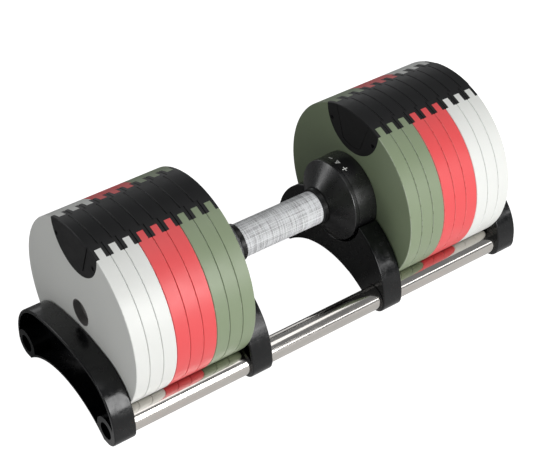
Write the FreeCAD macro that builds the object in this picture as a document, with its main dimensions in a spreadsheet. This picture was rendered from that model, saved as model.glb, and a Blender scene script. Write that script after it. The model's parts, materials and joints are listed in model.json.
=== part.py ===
import FreeCAD, Part
import math
import os
import Sketcher

# Adjustable dumbbell in its cradle: eighteen lift-out plates, a twist handle and a two-rail stand.
# Frame: origin on the floor under the middle of the handle, +X along the handle, +Z up, millimetres.
# A paired piece is modelled once for the +X side; the -X one is the same piece turned about +Z.

Vector = FreeCAD.Vector
START, END, CENTRE = 1, 2, 3
SKETCH_ORIGIN = (-1, 1)
SKETCH_UP_AXIS = -2
FLUSH = 1e-4

SIZES = {
    # plates
    "plate_radius": 86.0,
    "plate_thickness": 12.7,
    "plate_pitch": 13.0,
    "plate_bore_radius": 12.3,
    "plate_edge": 0.45,
    "first_plate_face": 84.0,
    "end_bore_depth": 4.8,
    "end_recess_radius": 11.5,
    "end_recess_depth": 6.7,
    # plastic key let into the top of every plate, in two halves
    "flange_centre": 79.7,
    "flange_radius": 35.7,
    "flange_depth": 3.3,
    "core_centre": 74.9,
    "core_radius": 27.8,
    "key_fit": 0.06,
    "key_reach": 3.4,
    "key_end_reach": 0.6,
    "key_top_half": 22.3,
    "key_low_half": 11.6,
    "key_low_radius": 29.0,
    "key_gap": 0.3,
    "key_edge": 0.5,
    "key_line_width": 0.7,
    "key_line_depth": 0.5,
    "key_screw_offset": 28.6,
    "key_screw_height": 66.0,
    "key_screw_radius": 2.1,
    "key_screw_depth": 1.4,
    # cradle
    "axis_height": 86.3,
    "rail_radius": 11.0,
    "rail_bore_radius": 9.2,
    "rail_offset": 66.2,
    "rail_height": 15.0,
    "rail_half_length": 210.0,
    "rail_plug_length": 16.0,
    "rail_thread_radius": 2.9,
    "snug_gap": 0.05,
    "screw_gap": 0.3,
    "bracket_width": 21.0,
    "bracket_wall": 3.0,
    "bracket_web": 4.0,
    "bracket_edge": 1.0,
    "foot_radius": 14.3,
    "foot_flat_height": 1.0,
    "boss_radius": 13.5,
    "boss_recess_radius": 8.0,
    "boss_recess_depth": 9.0,
    "boss_ring_radius": 13.2,
    "boss_ring_rise": 0.6,
    "arch_radius": 90.5,
    "arch_peak": 24.8,
    "outer_bracket_face": 201.4,
    "outer_top_height": 70.6,
    "outer_top_radius": 200.0,
    "outer_top_half": 44.0,
    "outer_corner_radius": 47.0,
    "outer_corner_height": 19.9,
    "inner_bracket_face": 62.3,
    "inner_corner_radius": 67.6,
    "inner_corner_height": 16.4,
    "seat_radius": 41.0,
    "foot_pad_length": 16.0,
    "foot_pad_width": 6.4,
    "foot_pad_offset": 64.9,
    "rail_screw_radius": 2.8,
    "rail_screw_head_radius": 6.2,
    "rail_screw_head_height": 3.6,
    "rail_screw_crown": 2.0,
    "rail_screw_crown_rise": 1.2,
    "rail_screw_length": 14.0,
    # handle hubs
    "hub_neck_face": 47.1,
    "hub_neck_radius": 18.2,
    "hub_neck_end": 57.0,
    "hub_edge_face": 60.4,
    "hub_edge_radius": 38.6,
    "hub_edge_round": 0.9,
    "hub_lip_width": 3.6,
    "hub_lip_groove_width": 0.6,
    "hub_lip_groove_depth": 0.45,
    "hub_neck_room": 0.8,
    "hub_back_face": 83.6,
    "hub_back_radius": 39.4,
    "hub_bore_radius": 35.8,
    "hub_cone_shift": 3.6,
    "hub_boss_offset": 31.2,
    "hub_boss_radius": 4.8,
    "hub_boss_face": 66.0,
    "hub_pilot_face": 68.0,
    "cover_thickness": 4.0,
    "cover_radius": 35.7,
    "cover_guide_face": 70.2,
    "cover_guide_radius": 15.0,
    "cover_guide_root": 1.0,
    "bush_radius": 15.95,
    "bush_flange_radius": 17.2,
    "bush_flange_face": 42.5,
    "hub_screw_radius": 1.9,
    "hub_screw_head_radius": 3.7,
    "hub_screw_head_height": 1.9,
    "hub_screw_length": 12.0,
    "hub_screw_sink": 0.1,
    # grip and selector
    "grip_radius": 15.8,
    "grip_half_length": 42.3,
    "grip_edge": 0.7,
    "sleeve_gap": 0.02,
    "tube_radius": 13.6,
    "tube_bore_radius": 11.5,
    "tube_half_length": 69.6,
    "tube_gap": 0.07,
    "rod_radius": 11.2,
    "rod_length": 138.0,
    "rod_tail": -59.0,
    "rod_flat": 0.2,
    "rod_gap": 0.08,
    "rod_edge": 1.2,
    "rod_travel": 113.0,
    "twist_degrees": 300.0,
    "pin_radius": 1.95,
    "pin_station": -55.0,
    "pin_root": 2.2,
    "pin_tip": 12.9,
    "slot_width": 9.2,
    "slot_overrun": 14.0,
    "slot_cutter_excess": 1.0,
    # release plungers under the hubs
    "plunger_station": 74.0,
    "plunger_tip_radius": 3.0,
    "plunger_tip": 40.4,
    "plunger_collar_radius": 4.4,
    "plunger_collar_low": 35.2,
    "plunger_collar_high": 33.6,
    "plunger_stem_radius": 1.5,
    "plunger_stem_top": 24.0,
    "plunger_gap": 0.08,
    "spring_wire_radius": 0.45,
    "spring_radius": 2.6,
    "spring_turns": 7,
    "spring_seat": 15.3,
    "spring_gap": 0.1,
}

PLATES_PER_SIDE = 9
SIDES = {"right": 0, "left": 180}
HUB_SCREW_ANGLES = (0, 120, 240)


# ---------------------------------------------------------------- sheet and document helpers


def make_sheet(doc):
    """Write the driving dimensions into a spreadsheet, one aliased cell each."""
    sheet = doc.addObject("Spreadsheet::Sheet", "Sizes")
    for row, (name, value) in enumerate(SIZES.items(), start=1):
        sheet.set(f"A{row}", name)
        sheet.set(f"B{row}", str(value))
        sheet.setAlias(f"B{row}", name)
    doc.recompute()


def value_of(text):
    """Number that an expression over the sheet stands for, such as 'Sizes.rail_radius + 1'."""
    return float(FreeCAD.ActiveDocument.getObject("Sizes").evalExpression(text))


def bind(target, settings):
    """Bind the properties of an object to expressions over the sheet."""
    for path, text in settings.items():
        target.setExpression(path, text)
    return target


def new_body(doc, name):
    """Start a body that is modelled about the handle's axis or about its own centre."""
    return doc.addObject("PartDesign::Body", name)


def origin_plane(body, role):
    """One of the body's own origin planes."""
    return next(feature for feature in body.Origin.OriginFeatures if feature.Role == role)


# ---------------------------------------------------------------- sketches


def new_sketch(body, name, role, offset=None):
    """A sketch on one of the body's origin planes, moved along its normal by an expression."""
    sketch = body.newObject("Sketcher::SketchObject", name)
    sketch.AttachmentSupport = [(origin_plane(body, role), "")]
    sketch.MapMode = "FlatFace"
    if offset:
        sketch.setExpression("AttachmentOffset.Base.z", offset)
    return sketch


def hold(sketch, kind, geometry, point, text):
    """Fix one coordinate of a point of the sketch by an expression."""
    index = sketch.addConstraint(Sketcher.Constraint(kind, geometry, point, value_of(text)))
    sketch.setExpression(f"Constraints[{index}]", text)


def hold_round(sketch, geometry, radius, across, up):
    """Fix the radius and centre of a circle or arc. A centre value of None is on that axis."""
    index = sketch.addConstraint(Sketcher.Constraint("Radius", geometry, value_of(radius)))
    sketch.setExpression(f"Constraints[{index}]", radius)
    if across is None and up is None:
        centre = Sketcher.Constraint("Coincident", geometry, CENTRE, *SKETCH_ORIGIN)
        sketch.addConstraint(centre)
        return
    if across is None:
        on_axis = Sketcher.Constraint("PointOnObject", geometry, CENTRE, SKETCH_UP_AXIS)
        sketch.addConstraint(on_axis)
    else:
        hold(sketch, "DistanceX", geometry, CENTRE, across)
    hold(sketch, "DistanceY", geometry, CENTRE, up)


def centre_point(across, up):
    """Sketch point of a centre given by expressions."""
    return Vector(value_of(across or "0"), value_of(up or "0"), 0)


def add_circle(sketch, radius, across=None, up=None):
    """Add a circle held by its radius and centre."""
    circle = Part.Circle(centre_point(across, up), Vector(0, 0, 1), value_of(radius))
    hold_round(sketch, sketch.addGeometry(circle, False), radius, across, up)


def add_profile(sketch, corners):
    """Add a closed polygon whose corners are pairs of expressions."""
    points = [centre_point(*corner) for corner in corners]
    for start, stop in zip(points, points[1:] + points[:1]):
        sketch.addGeometry(Part.LineSegment(start, stop), False)
    count = len(corners)
    for number in range(count):
        following = (number + 1) % count
        sketch.addConstraint(Sketcher.Constraint("Coincident", number, END, following, START))
    for number, (across, up) in enumerate(corners):
        hold(sketch, "DistanceX", number, START, across)
        hold(sketch, "DistanceY", number, START, up)


def edge_end(sketch, geometry, point):
    """Which end of an edge lies at a point."""
    gaps = [(sketch.getPoint(geometry, end) - point).Length for end in (START, END)]
    return START if gaps[0] < gaps[1] else END


def add_loop(sketch, corners, edges, pins=(), free=(), long_way=()):
    """Add a closed loop of lines and arcs.

    corners: start points of the edges, in order. edges: None for a line, or (radius, across, up)
    for an arc of the circle with that radius and centre, all expressions. pins: (corner number,
    kind, expression) for each corner that the arcs' circles alone don't settle. free: numbers of
    the arcs whose ends and radius settle their centre. long_way: numbers of the arcs that span
    more than half a circle.
    """
    points = [Vector(across, up, 0) for across, up in corners]
    first = len(sketch.Geometry)
    stops = points[1:] + points[:1]
    for number, (start, stop, edge) in enumerate(zip(points, stops, edges)):
        if edge is None:
            sketch.addGeometry(Part.LineSegment(start, stop), False)
            continue
        centre = centre_point(edge[1], edge[2])
        middle = (start + stop) * 0.5 - centre
        middle.normalize()
        reach = -value_of(edge[0]) if number in long_way else value_of(edge[0])
        sketch.addGeometry(Part.Arc(start, centre + middle * reach, stop), False)
    count = len(points)
    for number, point in enumerate(points):
        before, after = first + (number - 1) % count, first + number
        ends = (before, edge_end(sketch, before, point), after, edge_end(sketch, after, point))
        sketch.addConstraint(Sketcher.Constraint("Coincident", *ends))
    for number, kind, text in pins:
        geometry = first + number
        hold(sketch, kind, geometry, edge_end(sketch, geometry, points[number]), text)
    for number, edge in enumerate(edges):
        if edge and number in free:
            index = sketch.addConstraint(
                Sketcher.Constraint("Radius", first + number, value_of(edge[0])))
            sketch.setExpression(f"Constraints[{index}]", edge[0])
        elif edge:
            hold_round(sketch, first + number, *edge)


def crossing(first, second, pick):
    """Where two circles (radius, across, up) cross: the crossing that pick prefers."""
    radius_a, radius_b = value_of(first[0]), value_of(second[0])
    centre_a, centre_b = centre_point(*first[1:]), centre_point(*second[1:])
    apart = centre_b - centre_a
    along = (radius_a ** 2 - radius_b ** 2 + apart.Length ** 2) / (2 * apart.Length)
    aside = math.sqrt(radius_a ** 2 - along ** 2)
    apart.normalize()
    foot = centre_a + apart * along
    across = Vector(-apart.y, apart.x, 0) * aside
    best = max((foot + across, foot - across), key=pick)
    return best.x, best.y


# ---------------------------------------------------------------- body features


def pad(body, sketch, length):
    """Pad a sketch along its normal."""
    feature = body.newObject("PartDesign::Pad", f"{sketch.Name}_pad")
    feature.Profile = sketch
    return bind(feature, {"Length": length})


def pocket(body, sketch, length=None, forward=True):
    """Cut a sketch into the body along its normal, to a depth or right through."""
    feature = body.newObject("PartDesign::Pocket", f"{sketch.Name}_pocket")
    feature.Profile = sketch
    feature.Reversed = forward
    if length is None:
        feature.Type = "ThroughAll"
        return feature
    return bind(feature, {"Length": length})


def revolve(body, sketch, axis="H_Axis"):
    """Turn a sketch a full turn about one of its own axes."""
    feature = body.newObject("PartDesign::Revolution", f"{sketch.Name}_turn")
    feature.Profile = sketch
    feature.ReferenceAxis = (sketch, [axis])
    feature.Angle = 360
    return feature


def round_edges(doc, radius, stations):
    """Names of the full-circle edges of the newest solid with a radius, at given X stations."""
    doc.recompute()
    names = []
    tip = doc.Objects[-1]
    for number, edge in enumerate(tip.Shape.Edges, start=1):
        curve = edge.Curve
        if not isinstance(curve, Part.Circle) or abs(curve.Radius - radius) > FLUSH:
            continue
        if any(abs(curve.Center.x - station) < FLUSH for station in stations):
            names.append(f"Edge{number}")
    return tip, names


def dress(doc, body, kind, setting, amount, radius, stations):
    """Chamfer or fillet the round edges of a radius at given X stations."""
    base, names = round_edges(doc, radius, stations)
    feature = body.newObject(f"PartDesign::{kind}", f"{base.Name}_{kind}")
    feature.Base = (base, names)
    return bind(feature, {setting: amount})


# ---------------------------------------------------------------- placed sub-parts


def place(doc, label, pieces, across, turn=0, along="0"):
    """A sub-part: pieces in one node, at an X given by an expression, at the handle's height."""
    node = doc.addObject("Part::Compound", label)
    node.Label = label
    node.Links = pieces
    node.Placement = FreeCAD.Placement(Vector(), FreeCAD.Rotation(Vector(0, 0, 1), turn))
    return bind(node, {
        ".Placement.Base.x": across,
        ".Placement.Base.y": along,
        ".Placement.Base.z": "Sizes.axis_height",
    })


def place_pair(doc, name, pieces):
    """The right-hand sub-part and its left-hand twin."""
    return [place(doc, f"{side}_{name}", pieces, "0", turn) for side, turn in SIDES.items()]


# ---------------------------------------------------------------- plates


RIM = ("Sizes.plate_radius", None, None)
FLANGE = ("Sizes.flange_radius", None, "Sizes.flange_centre")
CORE = ("Sizes.core_radius", None, "Sizes.core_centre")
BORE = ("Sizes.plate_bore_radius", None, None)


def shrunk(circle, text):
    """The same circle with a smaller radius."""
    return (f"{circle[0]} - {text}", *circle[1:])


def add_lens(sketch, circle):
    """Sketch the part of a circle that lies inside the plate's rim."""
    right = crossing(RIM, circle, lambda point: point.x)
    long_way = (1,) if right[1] > value_of(circle[2]) else ()
    add_loop(sketch, [right, (-right[0], right[1])], [RIM, circle], long_way=long_way)


def add_shield(sketch, grow, lid_radius):
    """Sketch the tapered key: straight sides, a round bottom and a top on a circle."""
    low = (f"Sizes.key_low_radius + {grow}", None, "Sizes.flange_centre")
    low_half = value_of(f"Sizes.key_low_half + {grow}")
    top_half = value_of(f"Sizes.key_top_half + {grow}")
    low_height = value_of("Sizes.flange_centre") - math.sqrt(value_of(low[0]) ** 2 - low_half ** 2)
    top_height = math.sqrt(value_of(lid_radius) ** 2 - top_half ** 2)
    corners = [(top_half, top_height), (-top_half, top_height), (-low_half, low_height),
               (low_half, low_height)]
    pins = [
        (0, "DistanceX", f"Sizes.key_top_half + {grow}"),
        (1, "DistanceX", f"-Sizes.key_top_half - {grow}"),
        (2, "DistanceX", f"-Sizes.key_low_half - {grow}"),
        (3, "DistanceX", f"Sizes.key_low_half + {grow}"),
    ]
    add_loop(sketch, corners, [(lid_radius, None, None), None, low, None], pins)


def cut_circle(body, name, circle, offset=None, depth=None, forward=True):
    """Cut one round hole (radius, across, up) to a depth or right through."""
    sketch = new_sketch(body, name, "YZ_Plane", offset)
    add_circle(sketch, *circle)
    pocket(body, sketch, depth, forward)


def make_plate_disc(doc, name):
    """Steel disc with the window for the key and the sunk seats of the key's flanges."""
    body = new_body(doc, f"{name}_disc")
    outline = new_sketch(body, f"{name}_outline", "YZ_Plane")
    add_circle(outline, *RIM)
    pad(body, outline, "Sizes.plate_thickness")
    faces = (0, value_of("Sizes.plate_thickness"))
    dress(doc, body, "Chamfer", "Size", "Sizes.plate_edge", value_of("Sizes.plate_radius"), faces)
    cut_circle(body, f"{name}_window", CORE)
    cut_circle(body, f"{name}_inner_seat", FLANGE, "0", "Sizes.flange_depth")
    cut_circle(body, f"{name}_outer_seat", FLANGE, "Sizes.plate_thickness", "Sizes.flange_depth",
               forward=False)
    return body


def make_bored_disc(doc):
    """Disc of the inner plates, bored right through for the selector rod."""
    body = make_plate_disc(doc, "plate")
    cut_circle(body, "plate_bore", BORE)
    return body


def make_end_disc(doc):
    """Disc of the outermost plate: a blind bore for the rod's tip and a round recess outside."""
    body = make_plate_disc(doc, "end_plate")
    cut_circle(body, "end_plate_bore", BORE, "0", "Sizes.end_bore_depth")
    recess = ("Sizes.end_recess_radius", None, None)
    cut_circle(body, "end_plate_recess", recess, "Sizes.plate_thickness",
               "Sizes.end_recess_depth", forward=False)
    return body


def add_screw_wells(body, name, offset, forward):
    """Two shallow wells for the screws that hold the halves of the key together."""
    wells = new_sketch(body, name, "YZ_Plane", offset)
    for sign in ("", "-"):
        add_circle(wells, "Sizes.key_screw_radius", f"{sign}Sizes.key_screw_offset",
                   "Sizes.key_screw_height")
    pocket(body, wells, "Sizes.key_screw_depth", forward)


def cut_key_line(body, name, offset, forward):
    """Cut the fine line that frames the shape of the tapered key in a flange's face."""
    line = new_sketch(body, name, "YZ_Plane", offset)
    add_shield(line, "0", "Sizes.plate_radius")
    add_shield(line, "Sizes.key_line_width", "Sizes.plate_radius + Sizes.key_line_width")
    pocket(body, line, "Sizes.key_line_depth", forward)


def make_inner_key_half(doc, name, slotted):
    """Key half on the plate's handle side: flange and half of the core.

    slotted: with the open-topped slot for the next plate's key; if not, only its frame is drawn.
    """
    body = new_body(doc, f"key_{name}_half")
    flange = new_sketch(body, f"{name}_flange", "YZ_Plane")
    add_lens(flange, shrunk(FLANGE, "Sizes.key_fit"))
    pad(body, flange, "Sizes.flange_depth - Sizes.key_fit")
    core = new_sketch(body, f"{name}_core", "YZ_Plane")
    add_lens(core, shrunk(CORE, "Sizes.key_fit"))
    pad(body, core, "Sizes.plate_thickness / 2")
    stations = [0]
    if slotted:
        slot = new_sketch(body, f"{name}_slot", "YZ_Plane")
        add_shield(slot, "Sizes.key_gap", "Sizes.plate_radius + Sizes.key_gap")
        pocket(body, slot, "Sizes.key_reach")
        stations.append(value_of("Sizes.key_reach"))
    else:
        cut_key_line(body, f"{name}_line", None, forward=True)
    add_screw_wells(body, f"{name}_wells", None, forward=True)
    dress(doc, body, "Chamfer", "Size", "Sizes.key_edge", value_of("Sizes.plate_radius"), stations)
    return body


def make_outer_key_half(doc, name, reach):
    """Key half on the plate's far side: flange, half of the core and the tapered key itself."""
    body = new_body(doc, f"key_{name}_half")
    flange = new_sketch(body, f"{name}_flange", "YZ_Plane",
                        "Sizes.plate_thickness - Sizes.flange_depth + Sizes.key_fit")
    add_lens(flange, shrunk(FLANGE, "Sizes.key_fit"))
    pad(body, flange, "Sizes.flange_depth - Sizes.key_fit")
    core = new_sketch(body, f"{name}_core", "YZ_Plane", "Sizes.plate_thickness / 2")
    add_lens(core, shrunk(CORE, "Sizes.key_fit"))
    pad(body, core, "Sizes.plate_thickness / 2")
    shield = new_sketch(body, f"{name}_shield", "YZ_Plane", "Sizes.plate_thickness")
    add_shield(shield, "0", "Sizes.plate_radius")
    pad(body, shield, reach)
    cut_key_line(body, f"{name}_line", "Sizes.plate_thickness", forward=False)
    add_screw_wells(body, f"{name}_wells", "Sizes.plate_thickness", forward=False)
    stations = (value_of("Sizes.plate_thickness"), value_of(f"Sizes.plate_thickness + {reach}"))
    dress(doc, body, "Chamfer", "Size", "Sizes.key_edge", value_of("Sizes.plate_radius"), stations)
    return body


def make_plates(doc):
    """Nine plates and their keys on each side, numbered outwards from the handle."""
    bored_disc, end_disc = make_bored_disc(doc), make_end_disc(doc)
    first_half = make_inner_key_half(doc, "first", slotted=False)
    inner_half = make_inner_key_half(doc, "inner", slotted=True)
    outer_half = make_outer_key_half(doc, "outer", "Sizes.key_reach")
    end_half = make_outer_key_half(doc, "end", "Sizes.key_end_reach")
    nodes = []
    for side, turn in SIDES.items():
        sign = "-" if turn else ""
        for number in range(1, PLATES_PER_SIDE + 1):
            first, last = number == 1, number == PLATES_PER_SIDE
            face = f"{sign}(Sizes.first_plate_face + {number - 1} * Sizes.plate_pitch)"
            disc = end_disc if last else bored_disc
            halves = [first_half if first else inner_half, end_half if last else outer_half]
            nodes.append(place(doc, f"{side}_plate_{number}", [disc], face, turn))
            nodes.append(place(doc, f"{side}_plate_key_{number}", halves, face, turn))
    return nodes


# ---------------------------------------------------------------- cradle


FOOT_DROP = "Sizes.rail_height - Sizes.axis_height"
FOOT = ("Sizes.foot_radius", "Sizes.rail_offset", FOOT_DROP)
ARCH = ("Sizes.arch_radius", None, "Sizes.arch_peak - Sizes.arch_radius - Sizes.axis_height")
SEAT = ("Sizes.seat_radius", None, None)
BOSS = ("Sizes.boss_radius", "Sizes.rail_offset", FOOT_DROP)
FLAT = "Sizes.foot_flat_height - Sizes.axis_height"


def corner_circle(kind, inset="0"):
    """Circle of a bracket's shoulder, whose outermost point lines up with the foot's."""
    radius = f"Sizes.{kind}_corner_radius"
    across = f"Sizes.rail_offset + Sizes.foot_radius - {radius}"
    return f"{radius} - {inset}", across, f"Sizes.{kind}_corner_height - Sizes.axis_height"


def mirrored(edge):
    """The same arc on the other side of the bracket."""
    return edge and (edge[0], f"-({edge[1]})", edge[2])


def add_symmetric(sketch, right, right_edges, bottom, top, right_pins, free_top):
    """Sketch a loop that is the same on both sides of the handle's axis.

    right: points of the right half from the top down. right_edges: the edges between them.
    bottom and top: the edges that close the loop. right_pins: pins on the right-hand points.
    """
    count = len(right)
    points = right + [(-across, up) for across, up in reversed(right)]
    edges = right_edges + [bottom] + [mirrored(edge) for edge in reversed(right_edges)] + [top]
    pins = list(right_pins)
    for number, kind, text in right_pins:
        twin = f"-({text})" if kind == "DistanceX" else text
        pins.append((2 * count - 1 - number, kind, twin))
    add_loop(sketch, points, edges, pins, free=(len(edges) - 1,) if free_top else ())


def crown(corner, inset):
    """Crown arc of the outer bracket and its right-hand end on the shoulder."""
    half = "Sizes.outer_top_half"
    radius = f"Sizes.outer_top_radius - {inset}"
    shoulder = centre_point(*corner[1:])
    reach = value_of(half) - shoulder.x
    end = (value_of(half), shoulder.y + math.sqrt(value_of(corner[0]) ** 2 - reach ** 2))
    drop = end[1] - math.sqrt(value_of(radius) ** 2 - end[0] ** 2)
    return (radius, None, str(drop)), end


def add_bracket_outline(sketch, kind):
    """Sketch a bracket: crown or seat, two shoulders, two feet and the arch between them."""
    corner = corner_circle(kind)
    flat = value_of(FLAT)
    foot = centre_point(*FOOT[1:])
    foot_reach = value_of(FOOT[0])
    arch_drop = flat - centre_point(*ARCH[1:]).y
    top, first = crown(corner, "0") if kind == "outer" else (
        SEAT, crossing(SEAT, corner, lambda point: point.x))
    right = [
        first,
        (value_of(f"{corner[1]} + {corner[0]}"), value_of(corner[2])),
        (foot.x + foot_reach, foot.y),
        (foot.x + math.sqrt(foot_reach ** 2 - (flat - foot.y) ** 2), flat),
        (math.sqrt(value_of(ARCH[0]) ** 2 - arch_drop ** 2), flat),
    ]
    pins = [(1, "DistanceY", corner[2]), (2, "DistanceY", FOOT[2]), (3, "DistanceY", FLAT),
            (4, "DistanceY", FLAT)]
    if kind == "outer":
        pins.append((0, "DistanceX", "Sizes.outer_top_half"))
    add_symmetric(sketch, right, [corner, None, FOOT, None], ARCH, top, pins, kind == "outer")


def add_bracket_hollow(sketch, kind):
    """Sketch the hollow of a bracket: inside its rim and round the bosses."""
    wall = "Sizes.bracket_wall"
    corner = corner_circle(kind, wall)
    arch = (f"{ARCH[0]} + {wall}", *ARCH[1:])
    seat = (f"{SEAT[0]} + {wall}", *SEAT[1:])
    top, first = crown(corner, wall) if kind == "outer" else (
        seat, crossing(seat, corner, lambda point: point.x))
    right = [
        first,
        crossing(corner, BOSS, lambda point: point.y),
        crossing(BOSS, arch, lambda point: -point.x),
    ]
    pins = [(0, "DistanceX", "Sizes.outer_top_half")] if kind == "outer" else []
    add_symmetric(sketch, right, [corner, BOSS], arch, top, pins, kind == "outer")


def new_rail_circles(body, name, radius, offset):
    """Sketch a circle of one radius on each rail's centre."""
    sketch = new_sketch(body, name, "YZ_Plane", offset)
    for across in ("Sizes.rail_offset", "-Sizes.rail_offset"):
        add_circle(sketch, radius, across, FOOT_DROP)
    return sketch


def add_rail_holes(body, name, radius, offset, length=None, forward=True):
    """Cut the pair of round holes of one radius on the rails' centres."""
    pocket(body, new_rail_circles(body, name, radius, offset), length, forward)


def round_bracket(doc, body, face):
    """Round the outline of a bracket on both of its sides."""
    doc.recompute()
    base = doc.Objects[-1]
    outline = []
    for side in (value_of(face), value_of(f"{face} + Sizes.bracket_width")):
        for flat in base.Shape.Faces:
            box = flat.BoundBox
            if box.XLength < FLUSH and abs(box.XMin - side) < FLUSH:
                outline += flat.OuterWire.Edges
    names = [f"Edge{number}" for number, edge in enumerate(base.Shape.Edges, start=1)
             if any(edge.isSame(other) for other in outline)]
    feature = body.newObject("PartDesign::Fillet", f"{body.Name}_edges")
    feature.Base = (base, names)
    bind(feature, {"Radius": "Sizes.bracket_edge"})


def make_bracket(doc, kind):
    """Arched bracket with a rim round the hollow of its far side and a boss for each rail."""
    body = new_body(doc, f"{kind}_bracket_body")
    face = f"Sizes.{kind}_bracket_face"
    outline = new_sketch(body, f"{kind}_outline", "YZ_Plane", face)
    add_bracket_outline(outline, kind)
    pad(body, outline, "Sizes.bracket_width")
    hollow = new_sketch(body, f"{kind}_hollow", "YZ_Plane", f"{face} + Sizes.bracket_web")
    add_bracket_hollow(hollow, kind)
    pocket(body, hollow)
    snug = "Sizes.rail_radius + Sizes.snug_gap"
    if kind == "inner":
        ring_face = f"{face} - Sizes.boss_ring_rise"
        rings = new_rail_circles(body, "inner_rings", "Sizes.boss_ring_radius", ring_face)
        pad(body, rings, "Sizes.boss_ring_rise")
        add_rail_holes(body, "inner_rail_holes", snug, ring_face)
    else:
        add_rail_holes(body, "outer_sockets", snug, face, f"Sizes.rail_half_length - {face}")
        add_rail_holes(body, "outer_recesses", "Sizes.boss_recess_radius",
                       f"{face} + Sizes.bracket_width", "Sizes.boss_recess_depth", forward=False)
        add_rail_holes(body, "outer_screw_holes", "Sizes.rail_screw_radius + Sizes.screw_gap", face)
    round_bracket(doc, body, face)
    return body


def make_rail(doc):
    """Polished tube with a threaded plug welded into each end."""
    body = new_body(doc, "rail_body")
    profile = new_sketch(body, "rail_profile", "XZ_Plane")
    half = "Sizes.rail_half_length"
    plug = f"{half} - Sizes.rail_plug_length"
    add_profile(profile, [
        (f"-({half})", "Sizes.rail_thread_radius"), (f"-({half})", "Sizes.rail_radius"),
        (half, "Sizes.rail_radius"), (half, "Sizes.rail_thread_radius"),
        (plug, "Sizes.rail_thread_radius"), (plug, "Sizes.rail_bore_radius"),
        (f"-({plug})", "Sizes.rail_bore_radius"), (f"-({plug})", "Sizes.rail_thread_radius"),
    ])
    revolve(body, profile)
    return body


def make_rail_screw(doc, side, turn, across):
    """Button-head screw that holds an end bracket on a rail."""
    rail = "front" if across.startswith("-") else "rear"
    body = new_body(doc, f"rail_screw_{side}_{rail}")
    profile = new_sketch(body, f"{body.Name}_profile", "XZ_Plane")
    seat = "Sizes.outer_bracket_face + Sizes.bracket_width - Sizes.boss_recess_depth"
    head = f"{seat} + Sizes.rail_screw_head_height"
    add_profile(profile, [
        (f"{seat} - Sizes.rail_screw_length", "0"),
        (f"{seat} - Sizes.rail_screw_length", "Sizes.rail_screw_radius"),
        (seat, "Sizes.rail_screw_radius"), (seat, "Sizes.rail_screw_head_radius"),
        (f"{head} - Sizes.rail_screw_crown_rise", "Sizes.rail_screw_head_radius"),
        (head, "Sizes.rail_screw_head_radius - Sizes.rail_screw_crown"), (head, "0"),
    ])
    revolve(body, profile)
    body.Placement.Rotation = FreeCAD.Rotation(Vector(0, 0, 1), turn)
    return bind(body, {".Placement.Base.y": across, ".Placement.Base.z": FOOT_DROP})


def make_foot_pad(doc, kind, side, across):
    """Thin rubber pad under one foot of a bracket."""
    foot = "front" if across.startswith("-") else "rear"
    block = doc.addObject("Part::Box", f"foot_pad_{side}_{kind}_{foot}")
    bind(block, {
        "Length": "Sizes.foot_pad_length",
        "Width": "Sizes.foot_pad_width",
        "Height": "Sizes.foot_flat_height",
    })
    sign = "-" if side == "left" else ""
    middle = f"{sign}(Sizes.{kind}_bracket_face + Sizes.bracket_width / 2)"
    return bind(block, {
        ".Placement.Base.x": f"{middle} - Sizes.foot_pad_length / 2",
        ".Placement.Base.y": f"{across} - Sizes.foot_pad_width / 2",
        ".Placement.Base.z": "-Sizes.axis_height",
    })


def make_cradle(doc):
    """Brackets, rails, screws and foot pads."""
    rail = make_rail(doc)
    nodes = place_pair(doc, "outer_bracket", [make_bracket(doc, "outer")])
    nodes += place_pair(doc, "inner_bracket", [make_bracket(doc, "inner")])
    screws, pads = [], []
    for across in ("-Sizes.rail_offset", "Sizes.rail_offset"):
        for side, turn in SIDES.items():
            screws.append(make_rail_screw(doc, side, turn, across))
            pad_across = across.replace("rail_offset", "foot_pad_offset")
            pads += [make_foot_pad(doc, kind, side, pad_across) for kind in ("outer", "inner")]
    nodes.append(place(doc, "rail_screws", screws, "0"))
    nodes.append(place(doc, "foot_pads", pads, "0"))
    for label, sign in (("front_rail", "-"), ("rear_rail", "")):
        node = place(doc, label, [rail], "0", along=f"{sign}Sizes.rail_offset")
        nodes.append(bind(node, {".Placement.Base.z": "Sizes.rail_height"}))
    return nodes


# ---------------------------------------------------------------- handle hubs


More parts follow.
